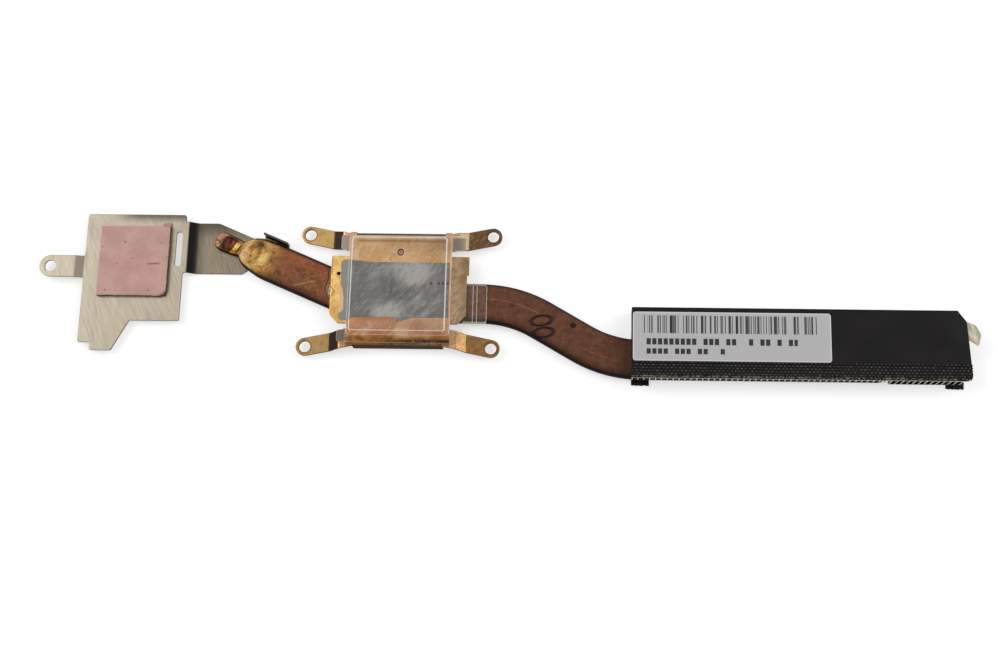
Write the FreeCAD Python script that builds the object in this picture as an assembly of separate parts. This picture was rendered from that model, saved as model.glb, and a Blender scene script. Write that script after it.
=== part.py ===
import FreeCAD, Part
import math
import os

V = FreeCAD.Vector

# Laptop thermal module, lying with its chip side up.
# The origin is the centre of the four screw holes of the spring plate, on the
# upper face of the arms, where they seat on the posts.  X runs along the module
# towards the fins, Y away from the edge where the air comes in.  Millimetres.

# Screw arms and spring plate, one stamping of copper alloy
hole_spacing_x = 39.0
hole_spacing_y = 24.4
screw_hole_d = 2.4
arm_width = 3.8
arm_splay = 11.6            # degrees that each arm turns out from the X axis
arm_drop = 1.3              # from the face of the plate down to the arm seats
arm_step_start = 12.3       # where the arm starts to step down, from the middle
arm_step_run = 2.0
plate_t = 0.6
plate_width = 21.6
plate_depth = 24.3
plate_back_more = 0.45      # the back edge lies this much further out than the front edge
plate_bend_r = 0.4
flange_width = 18.9         # stiffening flanges bent down, front and back
flange_height = 2.8
left_wing_reach = 3.7       # wings stand out from the plate over the pipe
right_wing_reach = 3.4
wing_width = 14.6
wing_chamfer = 1.8
wing_lug = 0.4              # locating lug on the end of the right wing
wing_lug_width = 3.9
wing_hole_d = 0.8
wing_hole_inset = 1.6
wing_hole_y = 3.4
dimple_d = 1.5
dimple_depth = 0.2
dimple_from_edge = 3.9

# Heat pipe, a round copper tube pressed flat, with its filling end pinched shut
pipe_width = 8.6
pipe_t = 2.0
pipe_plate_y = -2.5         # middle of the pipe under the plate
pipe_fin_y = -14.15         # middle of the pipe under the fins
left_bend_x = -7.4
left_bend_angle = 23.2
left_bend_r = 36.0
left_run = 35.3             # from the left bend to the end of the pinched tip
s_bend_x = 34.25            # middle of the S between the plate and the fins
s_bend_angle = 30.0
s_bend_r = 25.0
shoulder_length = 7.5
tip_length = 6.1
tip_width = 4.2
tip_t = 1.0
pipe_in_fins = 49.0
tail_length = 4.0

# Side bracket, one stamping of thin steel
bracket_t = 0.4
bracket_bend_r = 0.3
bracket_rise = 1.1          # from the neck up to the pad plate
tab_rise = 0.5              # from the pad plate up to the screw tab
neck_gap = 6.6              # from the pad plate to the end of the pipe
neck_step_start = 0.8       # the sheet stays level this far past the pad plate
neck_step_run = 1.8
neck_above = 3.5            # edges of the neck, from the end of the pipe
neck_below = 7.7
neck_chamfer = 1.5
pad_plate_width = 21.0
pad_plate_above = 5.0
pad_plate_below = 18.3
leg_length = 6.5            # leg at the lower left corner of the pad plate
leg_width = 4.5
leg_slope = 3.4
leg_notch_x = 2.6
leg_notch_y = 1.7
tab_width = 4.7
tab_reach = 7.0             # from the pad plate to the hole in the tab
tab_below = 6.7
tab_hole_d = 2.4
tab_step_run = 1.7
tab_step_start = 0.1
vent_slot_width = 1.3
vent_slot_length = 7.6
vent_slot_inset = 1.15
vent_slot_above = 1.2
lip_start = 9.3             # bent-up lip beside the pipe, from the end of the pipe
lip_length = 5.6
lip_gap = 0.4
lip_over_pipe = 0.2
saddle_edge = 3.35          # edge of the saddle under the pipe, from its middle
corner_r = 0.45

# Pink gap pad on the bracket
pad_width = 14.85
pad_depth = 15.45
pad_t = 1.0
pad_from_right = 2.9
pad_from_top = 2.75
pad_tear_width = 1.9        # torn strip at the back right corner
pad_tear_reach = 1.0
pad_tear_t = 0.5

# Grey paste on the plate and on part of the left wing
paste_t = 0.12
paste_width = 21.0
paste_depth = 12.1
spill_depth = 13.6
spill_reach = 2.3
paste_corner_r = 0.7

# Clear formed cover over the paste
cover_t = 0.25
dome_width = 21.6
dome_depth = 21.4
dome_y = 0.65
dome_height = 2.1
dome_draft = 0.8
dome_corner_r = 1.2
rim_side = 0.5              # rim beside the dome, between the lobes over the arms
rim_back = 11.9
rim_front = 11.6
lobe_reach = 2.0            # lobes of the rim over the left arms, from the dome
lobe_right_reach = 2.9
lobe_start = 8.6
lobe_corner_r = 1.2
pull_reach = 7.8
pull_width = 8.9
pull_y = -3.3
pull_corner_r = 1.2
rib_r = 0.22
rib_gap = 0.85
rib_from_end = 2.1

# Solder bead at the edge of the left wing
bead_r = 0.5
bead_length = 2.7
bead_y = -0.3

# Fins of thin aluminium sheet, folded and zipped together
fin_x = 49.0
fin_count = 57
fin_pitch = 1.22
fin_t = 0.2
fin_height = 4.1
fin_depth = 15.0
fin_over_pipe = 0.1         # fins stand this far in front of the pipe
fin_pipe_gap = 0.15
foot_set_back = 0.6

# Films, tapes and label on the fins
film_t = 0.15
film_overhang = 0.95
film_chamfer_x = 1.8
film_chamfer_y = 2.4
film_taper = 0.8
film_corner_r = 1.0
label_width = 41.2
label_depth = 10.4
label_t = 0.1
label_inset_x = 0.2
label_inset_y = 1.0
label_corner_r = 0.6
tape_width = 3.5
tape_t = 0.25
film_set_back = 0.15        # film and tape end this far behind the fronts of the fins
strip_width = 3.75
strip_length = 11.0
strip_t = 0.4
strip_stand_out = 0.9
flap_t = 0.12
flap_reach = 2.3
flap_width = 6.0
flap_from_back = 2.0
flap_gap = 0.1

# Levels
plate_top = arm_drop
plate_bottom = plate_top - plate_t
pipe_top = plate_bottom
pipe_mid = pipe_top - pipe_t / 2
pipe_bottom = pipe_top - pipe_t
neck_top = pipe_bottom
pad_plate_top = neck_top + bracket_rise
tab_top = pad_plate_top + tab_rise
fin_bottom = pipe_bottom
fin_top = fin_bottom + fin_height
film_top = fin_top + film_t
top_of_all = 40.0           # taller than the module, for cutting through it

# Places worked out from the sizes above
plate_half_x = plate_width / 2
plate_half_y = plate_depth / 2
plate_back_y = plate_half_y + plate_back_more
left_wing_end = plate_half_x + left_wing_reach
right_wing_end = plate_half_x + right_wing_reach
fin_front = pipe_fin_y - pipe_width / 2 - fin_over_pipe
fin_back = fin_front + fin_depth
fin_end = fin_x + fin_count * fin_pitch
film_end = fin_end + film_overhang
film_chamfer_start = film_end - film_taper - film_chamfer_x
rim_bottom = plate_top + paste_t


def rounded_edges(points, radii):
    """Closed run of straight edges through corner points, each corner rounded by its radius."""
    stops = []
    for i, corner in enumerate(points):
        if radii[i] == 0:
            stops.append([corner])
            continue
        back = (points[i - 1] - corner).normalize()
        ahead = (points[(i + 1) % len(points)] - corner).normalize()
        half = back.getAngle(ahead) / 2
        reach = radii[i] / math.tan(half)
        centre = corner + (back + ahead).normalize() * (radii[i] / math.sin(half))
        middle = centre + (corner - centre).normalize() * radii[i]
        stops.append([corner + back * reach, middle, corner + ahead * reach])
    edges = []
    for i, stop in enumerate(stops):
        if len(stop) == 3:
            edges.append(Part.Arc(*stop).toShape())
        start = stop[-1]
        end = stops[(i + 1) % len(stops)][0]
        if start.distanceToPoint(end) > 1e-6:
            edges.append(Part.LineSegment(start, end).toShape())
    return edges


def outline(corners, z=0.0):
    """Closed wire at height z from corners given as (x, y, radius)."""
    points = [V(x, y, z) for x, y, r in corners]
    return Part.Wire(rounded_edges(points, [r for x, y, r in corners]))


def flat_piece(corners, z, thickness):
    """Flat piece of sheet with the given outline, standing on height z."""
    return Part.Face(outline(corners, z)).extrude(V(0, 0, thickness))


def rectangle(x0, x1, y0, y1, radius=0.0):
    """Corners of an upright rectangle."""
    return [(x0, y0, radius), (x1, y0, radius), (x1, y1, radius), (x0, y1, radius)]


def bent_sheet(face_line, thickness, bend_r, across, up, along):
    """Sheet bent along straight lines.  face_line holds the corners of its upper face in the
    plane of across and up, the sheet lies on the right of that line, and along is its length."""
    count = len(face_line)
    runs = []
    for (a0, b0), (a1, b1) in zip(face_line, face_line[1:]):
        length = math.hypot(a1 - a0, b1 - b0)
        runs.append(((a1 - a0) / length, (b1 - b0) / length))
    under_line = []
    face_radii = []
    under_radii = []
    for i, (a, b) in enumerate(face_line):
        before = runs[max(i - 1, 0)]
        after = runs[min(i, count - 2)]
        turn = before[0] * after[1] - before[1] * after[0]
        spread = 1 + before[0] * after[0] + before[1] * after[1]
        under_line.append((a + (before[1] + after[1]) / spread * thickness,
                           b - (before[0] + after[0]) / spread * thickness))
        bent = abs(turn) > 1e-9
        face_radii.append((bend_r + (thickness if turn < 0 else 0)) if bent else 0)
        under_radii.append((bend_r + (thickness if turn > 0 else 0)) if bent else 0)
    section = face_line + under_line[::-1]
    radii = face_radii + under_radii[::-1]
    points = [across * a + up * b for a, b in section]
    return Part.Face(Part.Wire(rounded_edges(points, radii))).extrude(along)


def upright_hole(x, y, diameter):
    """Cutter for a hole through everything at x, y."""
    return Part.makeCylinder(diameter / 2, 2 * top_of_all, V(x, y, -top_of_all))


def plan_cutter(corners):
    """Upright prism that keeps what lies inside a plan outline."""
    return flat_piece(corners, -top_of_all, 2 * top_of_all)


# The pipe's own axis at its left run, used by the pipe and by the bracket that holds it
axis_angle = math.radians(-left_bend_angle)
axis = V(math.cos(axis_angle), math.sin(axis_angle), 0)
beside = V(-math.sin(axis_angle), math.cos(axis_angle), 0)
left_bend = V(left_bend_x, pipe_plate_y, pipe_mid)
tip_end = left_bend - axis * left_run


def along_pipe(distance, offset):
    """Plan position at a distance from the pinched end and an offset to the back of the pipe."""
    place = tip_end + axis * distance + beside * offset
    return place.x, place.y


def oval_wire(centre, heading, width, thickness):
    """Flat oval section of the pipe, square to its heading in plan."""
    side = V(-math.sin(heading), math.cos(heading), 0)
    rise = V(0, 0, thickness / 2)
    flat = side * (width / 2 - thickness / 2)
    edge = side * (width / 2)
    return Part.Wire([
        Part.LineSegment(centre + flat + rise, centre - flat + rise).toShape(),
        Part.Arc(centre - flat + rise, centre - edge, centre - flat - rise).toShape(),
        Part.LineSegment(centre - flat - rise, centre + flat - rise).toShape(),
        Part.Arc(centre + flat - rise, centre + edge, centre + flat + rise).toShape(),
    ])


def pipe_path():
    """Middle line of the flat pipe from its left shoulder to its tail."""
    fall = pipe_plate_y - pipe_fin_y
    half_run = fall / 2 / math.tan(math.radians(s_bend_angle))
    start = tip_end + axis * (tip_length + shoulder_length)
    end = V(fin_x + pipe_in_fins, pipe_fin_y, pipe_mid)
    corners = [
        (left_bend, left_bend_r),
        (V(s_bend_x - half_run, pipe_plate_y, pipe_mid), s_bend_r),
        (V(s_bend_x + half_run, pipe_fin_y, pipe_mid), s_bend_r),
    ]
    points = [start] + [corner for corner, r in corners] + [end]
    radii = [0] + [r for corner, r in corners] + [0]
    closing = Part.LineSegment(end, start).toShape()
    return [e for e in rounded_edges(points, radii) if abs(e.Length - closing.Length) > 1e-6]


def pipe_shoulder():
    """Shoulder where the flat pipe draws in to its pinched filling end."""
    steps = [(0.0, 1.0), (0.2, 0.97), (0.5, 0.87), (0.67, 0.78), (0.84, 0.63), (1.0, 0.44)]
    root = tip_end + axis * (tip_length + shoulder_length)
    sections = []
    for share, width_share in steps:
        width = pipe_width * width_share
        thickness = pipe_t + (tip_t * 1.3 - pipe_t) * share ** 3
        drop = V(0, 0, -(pipe_t - thickness) / 2)
        place = root - axis * (shoulder_length * share) + drop
        sections.append(oval_wire(place, axis_angle, width, thickness))
    return Part.makeLoft(sections, True)


def pipe_tip():
    """Flat pinched tongue at the end of the shoulder, rounded in plan."""
    half = tip_width / 2
    overlap = 0.6
    corners = [
        (*along_pipe(0, -half), half * 0.7),
        (*along_pipe(tip_length + overlap, -half * 0.85), 0),
        (*along_pipe(tip_length + overlap, half * 0.85), 0),
        (*along_pipe(0, half), half * 0.7),
    ]
    return flat_piece(corners, pipe_bottom, tip_t)


def pipe_tail():
    """Closed tail of the pipe, under the fins."""
    steps = [(0.0, 1.0), (0.35, 0.93), (0.7, 0.76), (1.0, 0.5)]
    root = V(fin_x + pipe_in_fins, pipe_fin_y, pipe_mid)
    sections = []
    for share, width_share in steps:
        place = root + V(tail_length * share, 0, 0)
        sections.append(oval_wire(place, 0, pipe_width * width_share, pipe_t * (1 - 0.25 * share)))
    return Part.makeLoft(sections, True)


def pipe_run(edge):
    """Stretch of flat pipe along one straight or curved edge of its path."""
    start = edge.valueAt(edge.FirstParameter)
    tangent = edge.tangentAt(edge.FirstParameter)
    section = Part.Face(oval_wire(start, math.atan2(tangent.y, tangent.x), pipe_width, pipe_t))
    if isinstance(edge.Curve, Part.Line):
        return section.extrude(edge.valueAt(edge.LastParameter) - start)
    turn = math.degrees(edge.LastParameter - edge.FirstParameter)
    return section.revolve(edge.Curve.Center, edge.Curve.Axis, turn)


def heat_pipe():
    runs = [pipe_run(edge) for edge in pipe_path()]
    return runs[0].fuse(runs[1:] + [pipe_shoulder(), pipe_tip(), pipe_tail()]).removeSplitter()


def spring_arm():
    """Arm at the back right corner: a strip that steps down to its screw hole."""
    hole = V(hole_spacing_x / 2, hole_spacing_y / 2, 0)
    splay = math.radians(arm_splay)
    heading = V(math.cos(splay), math.sin(splay), 0)
    side = V(-math.sin(splay), math.cos(splay), 0) * (arm_width / 2)
    root = hole - heading * ((hole.x - plate_half_x) / math.cos(splay) + plate_t)
    end = hole + heading * (arm_width / 2)
    corners = [(root - side, 0), (end - side, arm_width / 2), (end + side, arm_width / 2), (root + side, 0)]
    strip = plan_cutter([(p.x, p.y, r) for p, r in corners])
    reach = end.x + arm_width
    face = [(0, plate_top), (arm_step_start, plate_top), (arm_step_start + arm_step_run, 0), (reach, 0)]
    sheet = bent_sheet(face, plate_t, plate_bend_r, V(1, 0, 0), V(0, 0, 1), V(0, 2 * hole_spacing_y, 0))
    return sheet.common(strip).cut(upright_hole(hole.x, hole.y, screw_hole_d))


def plate_side(wing_end, lug):
    """Flat side of the plate with its wing, on the right, with a lug on the wing's end or none."""
    half = wing_width / 2
    lug_low = half - wing_lug_width
    lug_corners = [(wing_end, lug_low, 0), (wing_end + lug, lug_low, 0), (wing_end + lug, half, 0)]
    corners = [
        (flange_width / 2, -plate_half_y, 0),
        (plate_half_x, -plate_half_y, 0),
        (plate_half_x, -half, 0),
        (wing_end - wing_chamfer, -half, corner_r),
        (wing_end, -half + wing_chamfer, corner_r),
    ]
    corners += lug_corners if lug else [(wing_end, half, corner_r)]
    corners += [
        (plate_half_x, half, 0),
        (plate_half_x, plate_back_y, 0),
        (flange_width / 2, plate_back_y, 0),
    ]
    return flat_piece(corners, plate_bottom, plate_t)


def spring_plate():
    low = plate_top - flange_height
    face = [(-plate_half_y, low), (-plate_half_y, plate_top), (plate_back_y, plate_top), (plate_back_y, low)]
    channel = bent_sheet(face, plate_t, plate_bend_r, V(0, 1, 0), V(0, 0, 1), V(flange_width, 0, 0))
    channel.translate(V(-flange_width / 2, 0, 0))
    across = V(1, 0, 0)
    centre = V(0, 0, 0)
    arm = spring_arm()
    front_arm = arm.mirror(centre, V(0, 1, 0))
    pieces = [plate_side(right_wing_end, wing_lug), plate_side(left_wing_end, 0).mirror(centre, across)]
    pieces += [arm, front_arm, arm.mirror(centre, across), front_arm.mirror(centre, across)]
    plate = channel.fuse(pieces).removeSplitter()
    dimple = Part.makeCylinder(dimple_d / 2, dimple_depth,
                               V(0, plate_half_y - dimple_from_edge, plate_top - dimple_depth))
    hole = upright_hole(-left_wing_end + wing_hole_inset, wing_hole_y, wing_hole_d)
    return plate.cut([dimple, hole])


def bracket_plan():
    """Plan outline of the bracket: screw tab, pad plate, leg, neck and saddle under the pipe."""
    right = tip_end.x - neck_gap
    left = right - pad_plate_width
    top = tip_end.y + pad_plate_above
    low = tip_end.y - pad_plate_below
    leg_low = low - leg_length
    tab_y = tip_end.y - tab_below
    tab_end = left - tab_reach - tab_width / 2
    half = tab_width / 2
    neck_high = tip_end.y + neck_above
    neck_low = tip_end.y - neck_below
    leg_left = left + leg_notch_x
    leg_right = leg_left + leg_width
    lip_outer = pipe_width / 2 + lip_gap + bracket_t
    lip_end = lip_start + lip_length
    saddle_low = along_pipe(lip_start, -saddle_edge)
    slope = math.tan(math.radians(left_bend_angle))
    saddle_start = along_pipe(0, saddle_edge)
    saddle_corner_x = saddle_start[0] - (neck_high - saddle_start[1]) / slope
    return [
        (left, top, corner_r),
        (left, tab_y + half, corner_r),
        (tab_end, tab_y + half, half),
        (tab_end, tab_y - half, half),
        (left, tab_y - half, corner_r),
        (left, leg_low + leg_notch_y, corner_r),
        (leg_left, leg_low + leg_notch_y, corner_r),
        (leg_left, leg_low, corner_r),
        (leg_right, leg_low, corner_r),
        (leg_right + leg_slope, low, corner_r),
        (right, low, corner_r),
        (right, neck_low, corner_r),
        (saddle_low[0] - neck_chamfer, neck_low, corner_r),
        (*saddle_low, 0),
        (*along_pipe(lip_end, -saddle_edge), corner_r),
        (*along_pipe(lip_end, lip_outer), 0),
        (*along_pipe(lip_start, lip_outer), 0),
        (*along_pipe(lip_start, saddle_edge), 0),
        (saddle_corner_x, neck_high, corner_r),
        (right, neck_high, corner_r),
        (right, top, corner_r),
    ]


def bracket_lip():
    """Lip bent up from the saddle along the back of the pipe."""
    inner = pipe_width / 2 + lip_gap
    face = [(0, neck_top), (inner, neck_top), (inner, pipe_top + lip_over_pipe)]
    lip = bent_sheet(face, bracket_t, bracket_bend_r, beside, V(0, 0, 1), axis * lip_length)
    start = along_pipe(lip_start, 0)
    lip.translate(V(start[0], start[1], 0))
    return lip


def side_bracket():
    right = tip_end.x - neck_gap
    left = right - pad_plate_width
    step_x = left - tab_step_start
    step_down_x = right + neck_step_start
    far_left = left - tab_reach - tab_width
    far_right = along_pipe(lip_start + lip_length, 0)[0] + pipe_width
    face = [
        (far_left, tab_top),
        (step_x - tab_step_run, tab_top),
        (step_x, pad_plate_top),
        (step_down_x, pad_plate_top),
        (step_down_x + neck_step_run, neck_top),
        (far_right, neck_top),
    ]
    depth = 2 * (pad_plate_above + pad_plate_below + leg_length)
    sheet = bent_sheet(face, bracket_t, bracket_bend_r, V(1, 0, 0), V(0, 0, 1), V(0, depth, 0))
    sheet.translate(V(0, tip_end.y - depth / 2, 0))
    lip_foot = Part.makeBox(lip_length, bracket_bend_r + bracket_t, bracket_t)
    bend_start = along_pipe(lip_start, pipe_width / 2 + lip_gap - bracket_bend_r)
    lip_foot.rotate(V(0, 0, 0), V(0, 0, 1), -left_bend_angle)
    lip_foot.translate(V(bend_start[0], bend_start[1], neck_top - bracket_t))
    body = sheet.common(plan_cutter(bracket_plan())).cut(lip_foot)
    slot_right = right - vent_slot_inset + vent_slot_width / 2
    slot_top = tip_end.y + vent_slot_above
    slot = plan_cutter(rectangle(slot_right - vent_slot_width, slot_right,
                                 slot_top - vent_slot_length, slot_top, corner_r))
    hole = upright_hole(left - tab_reach, tip_end.y - tab_below, tab_hole_d)
    return body.fuse(bracket_lip()).cut([slot, hole]).removeSplitter()


def bracket_pad():
    right = tip_end.x - neck_gap - pad_from_right
    top = tip_end.y + pad_plate_above - pad_from_top
    corners = rectangle(right - pad_width, right, top - pad_depth, top, corner_r)
    pad = flat_piece(corners, pad_plate_top, pad_t)
    torn = rectangle(right - pad_tear_width, right, top - pad_tear_width, top + pad_tear_reach)
    return pad.fuse(flat_piece(torn, pad_plate_top, pad_tear_t)).removeSplitter()


def thermal_paste():
    half = paste_width / 2
    spill = half + spill_reach
    corners = [
        (half, -paste_depth / 2, paste_corner_r),
        (half, paste_depth / 2, paste_corner_r),
        (-half, paste_depth / 2, 0),
        (-half, spill_depth / 2, 0),
        (-spill, spill_depth / 2, paste_corner_r),
        (-spill, -spill_depth / 2, paste_corner_r),
        (-half, -spill_depth / 2, 0),
        (-half, -paste_depth / 2, 0),
    ]
    return flat_piece(corners, plate_top, paste_t)


def dome(inset, base_z, height):
    """Tapered dome with rounded corners, its walls moved in by inset."""
    half_x = dome_width / 2 - inset
    half_y = dome_depth / 2 - inset
    base = rectangle(-half_x, half_x, dome_y - half_y, dome_y + half_y, dome_corner_r)
    top = rectangle(-half_x + dome_draft, half_x - dome_draft,
                    dome_y - half_y + dome_draft, dome_y + half_y - dome_draft, dome_corner_r)
    return Part.makeLoft([outline(base, base_z), outline(top, base_z + height)], True, True)


def clear_cover():
    edge = dome_width / 2 + rim_side
    lobe_left = dome_width / 2 + lobe_reach
    lobe_right = dome_width / 2 + lobe_right_reach
    pull_end = dome_width / 2 + pull_reach
    pull_low = pull_y - pull_width / 2
    pull_high = pull_y + pull_width / 2
    corners = [
        (-lobe_left, rim_back, corner_r),
        (-lobe_left, lobe_start, lobe_corner_r),
        (-edge, lobe_start, 0),
        (-edge, -lobe_start, 0),
        (-lobe_left, -lobe_start, lobe_corner_r),
        (-lobe_left, -rim_front, lobe_corner_r),
        (lobe_right, -rim_front, lobe_corner_r),
        (lobe_right, pull_low, corner_r),
        (pull_end, pull_low, pull_corner_r),
        (pull_end, pull_high, pull_corner_r),
        (edge, pull_high, corner_r),
        (edge, lobe_start, 0),
        (lobe_right, lobe_start, lobe_corner_r),
        (lobe_right, rim_back, corner_r),
    ]
    rim = flat_piece(corners, rim_bottom, cover_t)
    ribs = []
    for i in range(2):
        x = pull_end - rib_from_end - i * rib_gap
        length = pull_width - 2 * pull_corner_r
        foot = V(x, pull_low + pull_corner_r, rim_bottom + cover_t)
        rod = Part.makeCylinder(rib_r, length, foot, V(0, 1, 0))
        above = Part.makeBox(2 * rib_r, length, rib_r, foot - V(rib_r, 0, 0))
        ribs.append(rod.common(above))
    shell = dome(0, rim_bottom, dome_height).fuse([rim] + ribs)
    return shell.cut(dome(cover_t, rim_bottom, dome_height - cover_t)).removeSplitter()


def solder_bead():
    """Quarter-round bead in the corner between the pipe and the edge of the left wing."""
    corner = V(-left_wing_end, bead_y - bead_length / 2, pipe_top)
    rod = Part.makeCylinder(bead_r, bead_length, corner, V(0, 1, 0))
    quarter = Part.makeBox(bead_r, bead_length, bead_r, corner - V(bead_r, 0, 0))
    return rod.common(quarter)


def fin(notched, back):
    """One fin at the left end of the stack: a web with folded flanges, cut away over the pipe or not."""
    reach = fin_pitch - fin_t
    seat_back = pipe_fin_y + pipe_width / 2 + fin_pipe_gap
    front_low = pipe_top if notched else fin_bottom
    corners = [(back, fin_top), (back, fin_bottom)]
    if notched:
        corners += [(seat_back, fin_bottom), (seat_back, pipe_top)]
        foot_front = seat_back
    else:
        foot_front = fin_front + foot_set_back
    corners += [(fin_front, front_low), (fin_front, fin_top)]
    points = [V(fin_x, y, z) for y, z in corners]
    web = Part.Face(Part.makePolygon(points + points[:1])).extrude(V(fin_t, 0, 0))
    flanges = [
        Part.makeBox(reach, back - fin_front, fin_t, V(fin_x + fin_t, fin_front, fin_top - fin_t)),
        Part.makeBox(reach, back - foot_front, fin_t, V(fin_x + fin_t, foot_front, fin_bottom)),
    ]
    if notched:
        seat_front = fin_front + foot_set_back
        seat = V(fin_x + fin_t, seat_front, pipe_top)
        flanges.append(Part.makeBox(reach, seat_back - seat_front, fin_t, seat))
    return web.fuse(flanges).removeSplitter()


def fin_row(notched, first, last):
    """Fins first to last - 1 of the stack, side by side, shorter under the film's cut corner."""
    row = []
    for i in range(first, last):
        past_corner = max(fin_x + (i + 1) * fin_pitch - film_chamfer_start, 0)
        piece = fin(notched, fin_back - past_corner * film_chamfer_y / film_chamfer_x)
        piece.translate(V(i * fin_pitch, 0, 0))
        row.append(piece)
    return Part.makeCompound(row)


def top_film():
    front = fin_front + film_set_back
    corners = [
        (fin_x, front, 0),
        (film_end, front, film_corner_r),
        (film_end - film_taper, fin_back - film_chamfer_y, 0),
        (film_chamfer_start, fin_back, 0),
        (fin_x, fin_back, 0),
    ]
    return flat_piece(corners, fin_top, film_t)


def blank_label():
    left = fin_x + label_inset_x
    back = fin_back - label_inset_y
    corners = rectangle(left, left + label_width, back - label_depth, back, label_corner_r)
    return flat_piece(corners, film_top, label_t)


def woven_tape():
    """Woven tape along the front edge of the film, rounded at its free front corner."""
    front = fin_front + film_set_back
    back = fin_front + tape_width
    corners = [
        (fin_x, front, 0),
        (film_end, front, film_corner_r),
        (film_end, back, 0),
        (fin_x, back, 0),
    ]
    return flat_piece(corners, film_top, tape_t)


def foot_strip(x):
    """Strip of tape stuck under the end of the stack, standing out at the front."""
    front = fin_front - strip_stand_out
    corners = rectangle(x, x + strip_width, front, front + strip_length, 0)
    return flat_piece(corners, fin_bottom - strip_t, strip_t)


def film_flap():
    """Loose end of a thin film under the overhang of the top film."""
    root = fin_end + flap_gap
    tip = film_end + flap_reach
    back = fin_back - flap_from_back
    front = back - flap_width
    corners = [
        (root, front + flap_width / 4, 0),
        (tip - flap_reach / 4, front, corner_r),
        (tip, front + flap_width / 2, flap_reach / 2),
        (tip - flap_reach / 2, back - flap_width / 6, flap_reach / 2),
        (root, back, corner_r),
    ]
    return flat_piece(corners, fin_top - flap_t, flap_t)


notched_fins = math.ceil((pipe_in_fins + tail_length + fin_pipe_gap) / fin_pitch)

pieces = {
    "heat_pipe": heat_pipe(),
    "spring_plate": spring_plate(),
    "thermal_paste": thermal_paste(),
    "clear_cover": clear_cover(),
    "solder_bead": solder_bead(),
    "side_bracket": side_bracket(),
    "bracket_pad": bracket_pad(),
    "fins_over_pipe": fin_row(True, 0, notched_fins),
    "fins_beyond_pipe": fin_row(False, notched_fins, fin_count),
    "top_film": top_film(),
    "blank_label": blank_label(),
    "woven_tape": woven_tape(),
    "left_foot_strip": foot_strip(fin_x),
    "right_foot_strip": foot_strip(fin_end - strip_width),
    "film_flap": film_flap(),
}

os.makedirs("parts", exist_ok=True)
for name, shape in pieces.items():
    shape.exportStep("parts/" + name + ".step")
    print(name, len(shape.Solids), shape.isValid(), round(shape.Volume, 2))
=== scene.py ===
from functools import partialmethod
from math import cos, exp, pi, radians, sin, sqrt, tan
import bpy
import numpy as np
from mathutils import Matrix, Vector, noise
from mathutils.geometry import tessellate_polygon


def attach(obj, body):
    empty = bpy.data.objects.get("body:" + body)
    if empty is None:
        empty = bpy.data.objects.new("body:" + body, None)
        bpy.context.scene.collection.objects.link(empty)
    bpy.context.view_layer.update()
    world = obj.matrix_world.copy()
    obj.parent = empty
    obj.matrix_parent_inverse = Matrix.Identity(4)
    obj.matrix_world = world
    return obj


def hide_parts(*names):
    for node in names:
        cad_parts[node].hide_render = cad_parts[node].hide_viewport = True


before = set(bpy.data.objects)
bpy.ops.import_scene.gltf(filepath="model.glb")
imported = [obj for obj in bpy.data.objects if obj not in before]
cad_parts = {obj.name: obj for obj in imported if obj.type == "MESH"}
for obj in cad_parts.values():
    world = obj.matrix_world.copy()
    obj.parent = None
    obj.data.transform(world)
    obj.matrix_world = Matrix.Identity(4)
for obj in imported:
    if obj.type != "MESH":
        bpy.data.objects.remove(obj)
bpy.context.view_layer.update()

# Heat pipe: a round copper tube pressed flat, its filling end pinched shut and folded.
# Bare copper, heat-stained brown, with orange and gold where the torch was; its sides are painted dark as
# shade, and its pinched end and shoulder dimple carry painted highlights and painted shade.
# It is soldered to the bracket, the plate and the fins.
MM = 0.001
scene = bpy.context.scene
pipe_low = -1.3
tip_x, tip_y = -39.848, 11.406
left_run, left_corner_x, left_radius, left_turn = 35.3, -7.4, 36, radians(23.2)
bend_x, bend_fall, bend_radius, bend_turn = 34.25, 14.15 - 2.5, 25, radians(30)
tail_x = 102
left_tangent = left_radius * tan(left_turn / 2)
bend_tangent = bend_radius * tan(bend_turn / 2)
bend_reach = bend_fall / tan(bend_turn)
# Straight runs and bends (length, turn) from the pinched end to the tail
pipe_runs = [(left_run - left_tangent, 0), (left_radius * left_turn, left_turn),
             (bend_x - bend_reach / 2 - bend_tangent - (left_corner_x + left_tangent), 0),
             (bend_radius * bend_turn, -bend_turn), (bend_fall / sin(bend_turn) - 2 * bend_tangent, 0),
             (bend_radius * bend_turn, bend_turn), (tail_x - (bend_x + bend_reach / 2 + bend_tangent), 0)]
pipe_end = sum(length for length, turn in pipe_runs)
# Folds, back rim, trough, bowl, its rim, lip: height, then place and reach along and across
tip_forms = ((0.30, 0.8, 1, 0.6, 1.5), (0.62, 3.2, 2.6, 1.75, 0.5), (-0.62, 3.6, 2, -0.1, 2.2),
             (-0.75, 10.1, 2.4, 0.4, 3.2), (0.40, 9.2, 0.55, 0.2, 1.6), (0.16, 7.3, 1, 0, 3.2))


def pipe_place(distance):
    """Middle of the pipe and its heading at a distance from the pinched end."""
    x, y, heading = tip_x, tip_y, -left_turn
    for length, turn in pipe_runs:
        here = min(distance, length)
        half = turn * here / length / 2
        chord = here * np.sinc(half / pi)
        x += chord * cos(heading + half)
        y += chord * sin(heading + half)
        heading += 2 * half
        distance -= here
    return x, y, heading


def bell(value, middle, reach):
    """Smooth hump of height 1 at middle, nearly gone at reach."""
    return exp(-2 * ((value - middle) / reach) ** 2)


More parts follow.
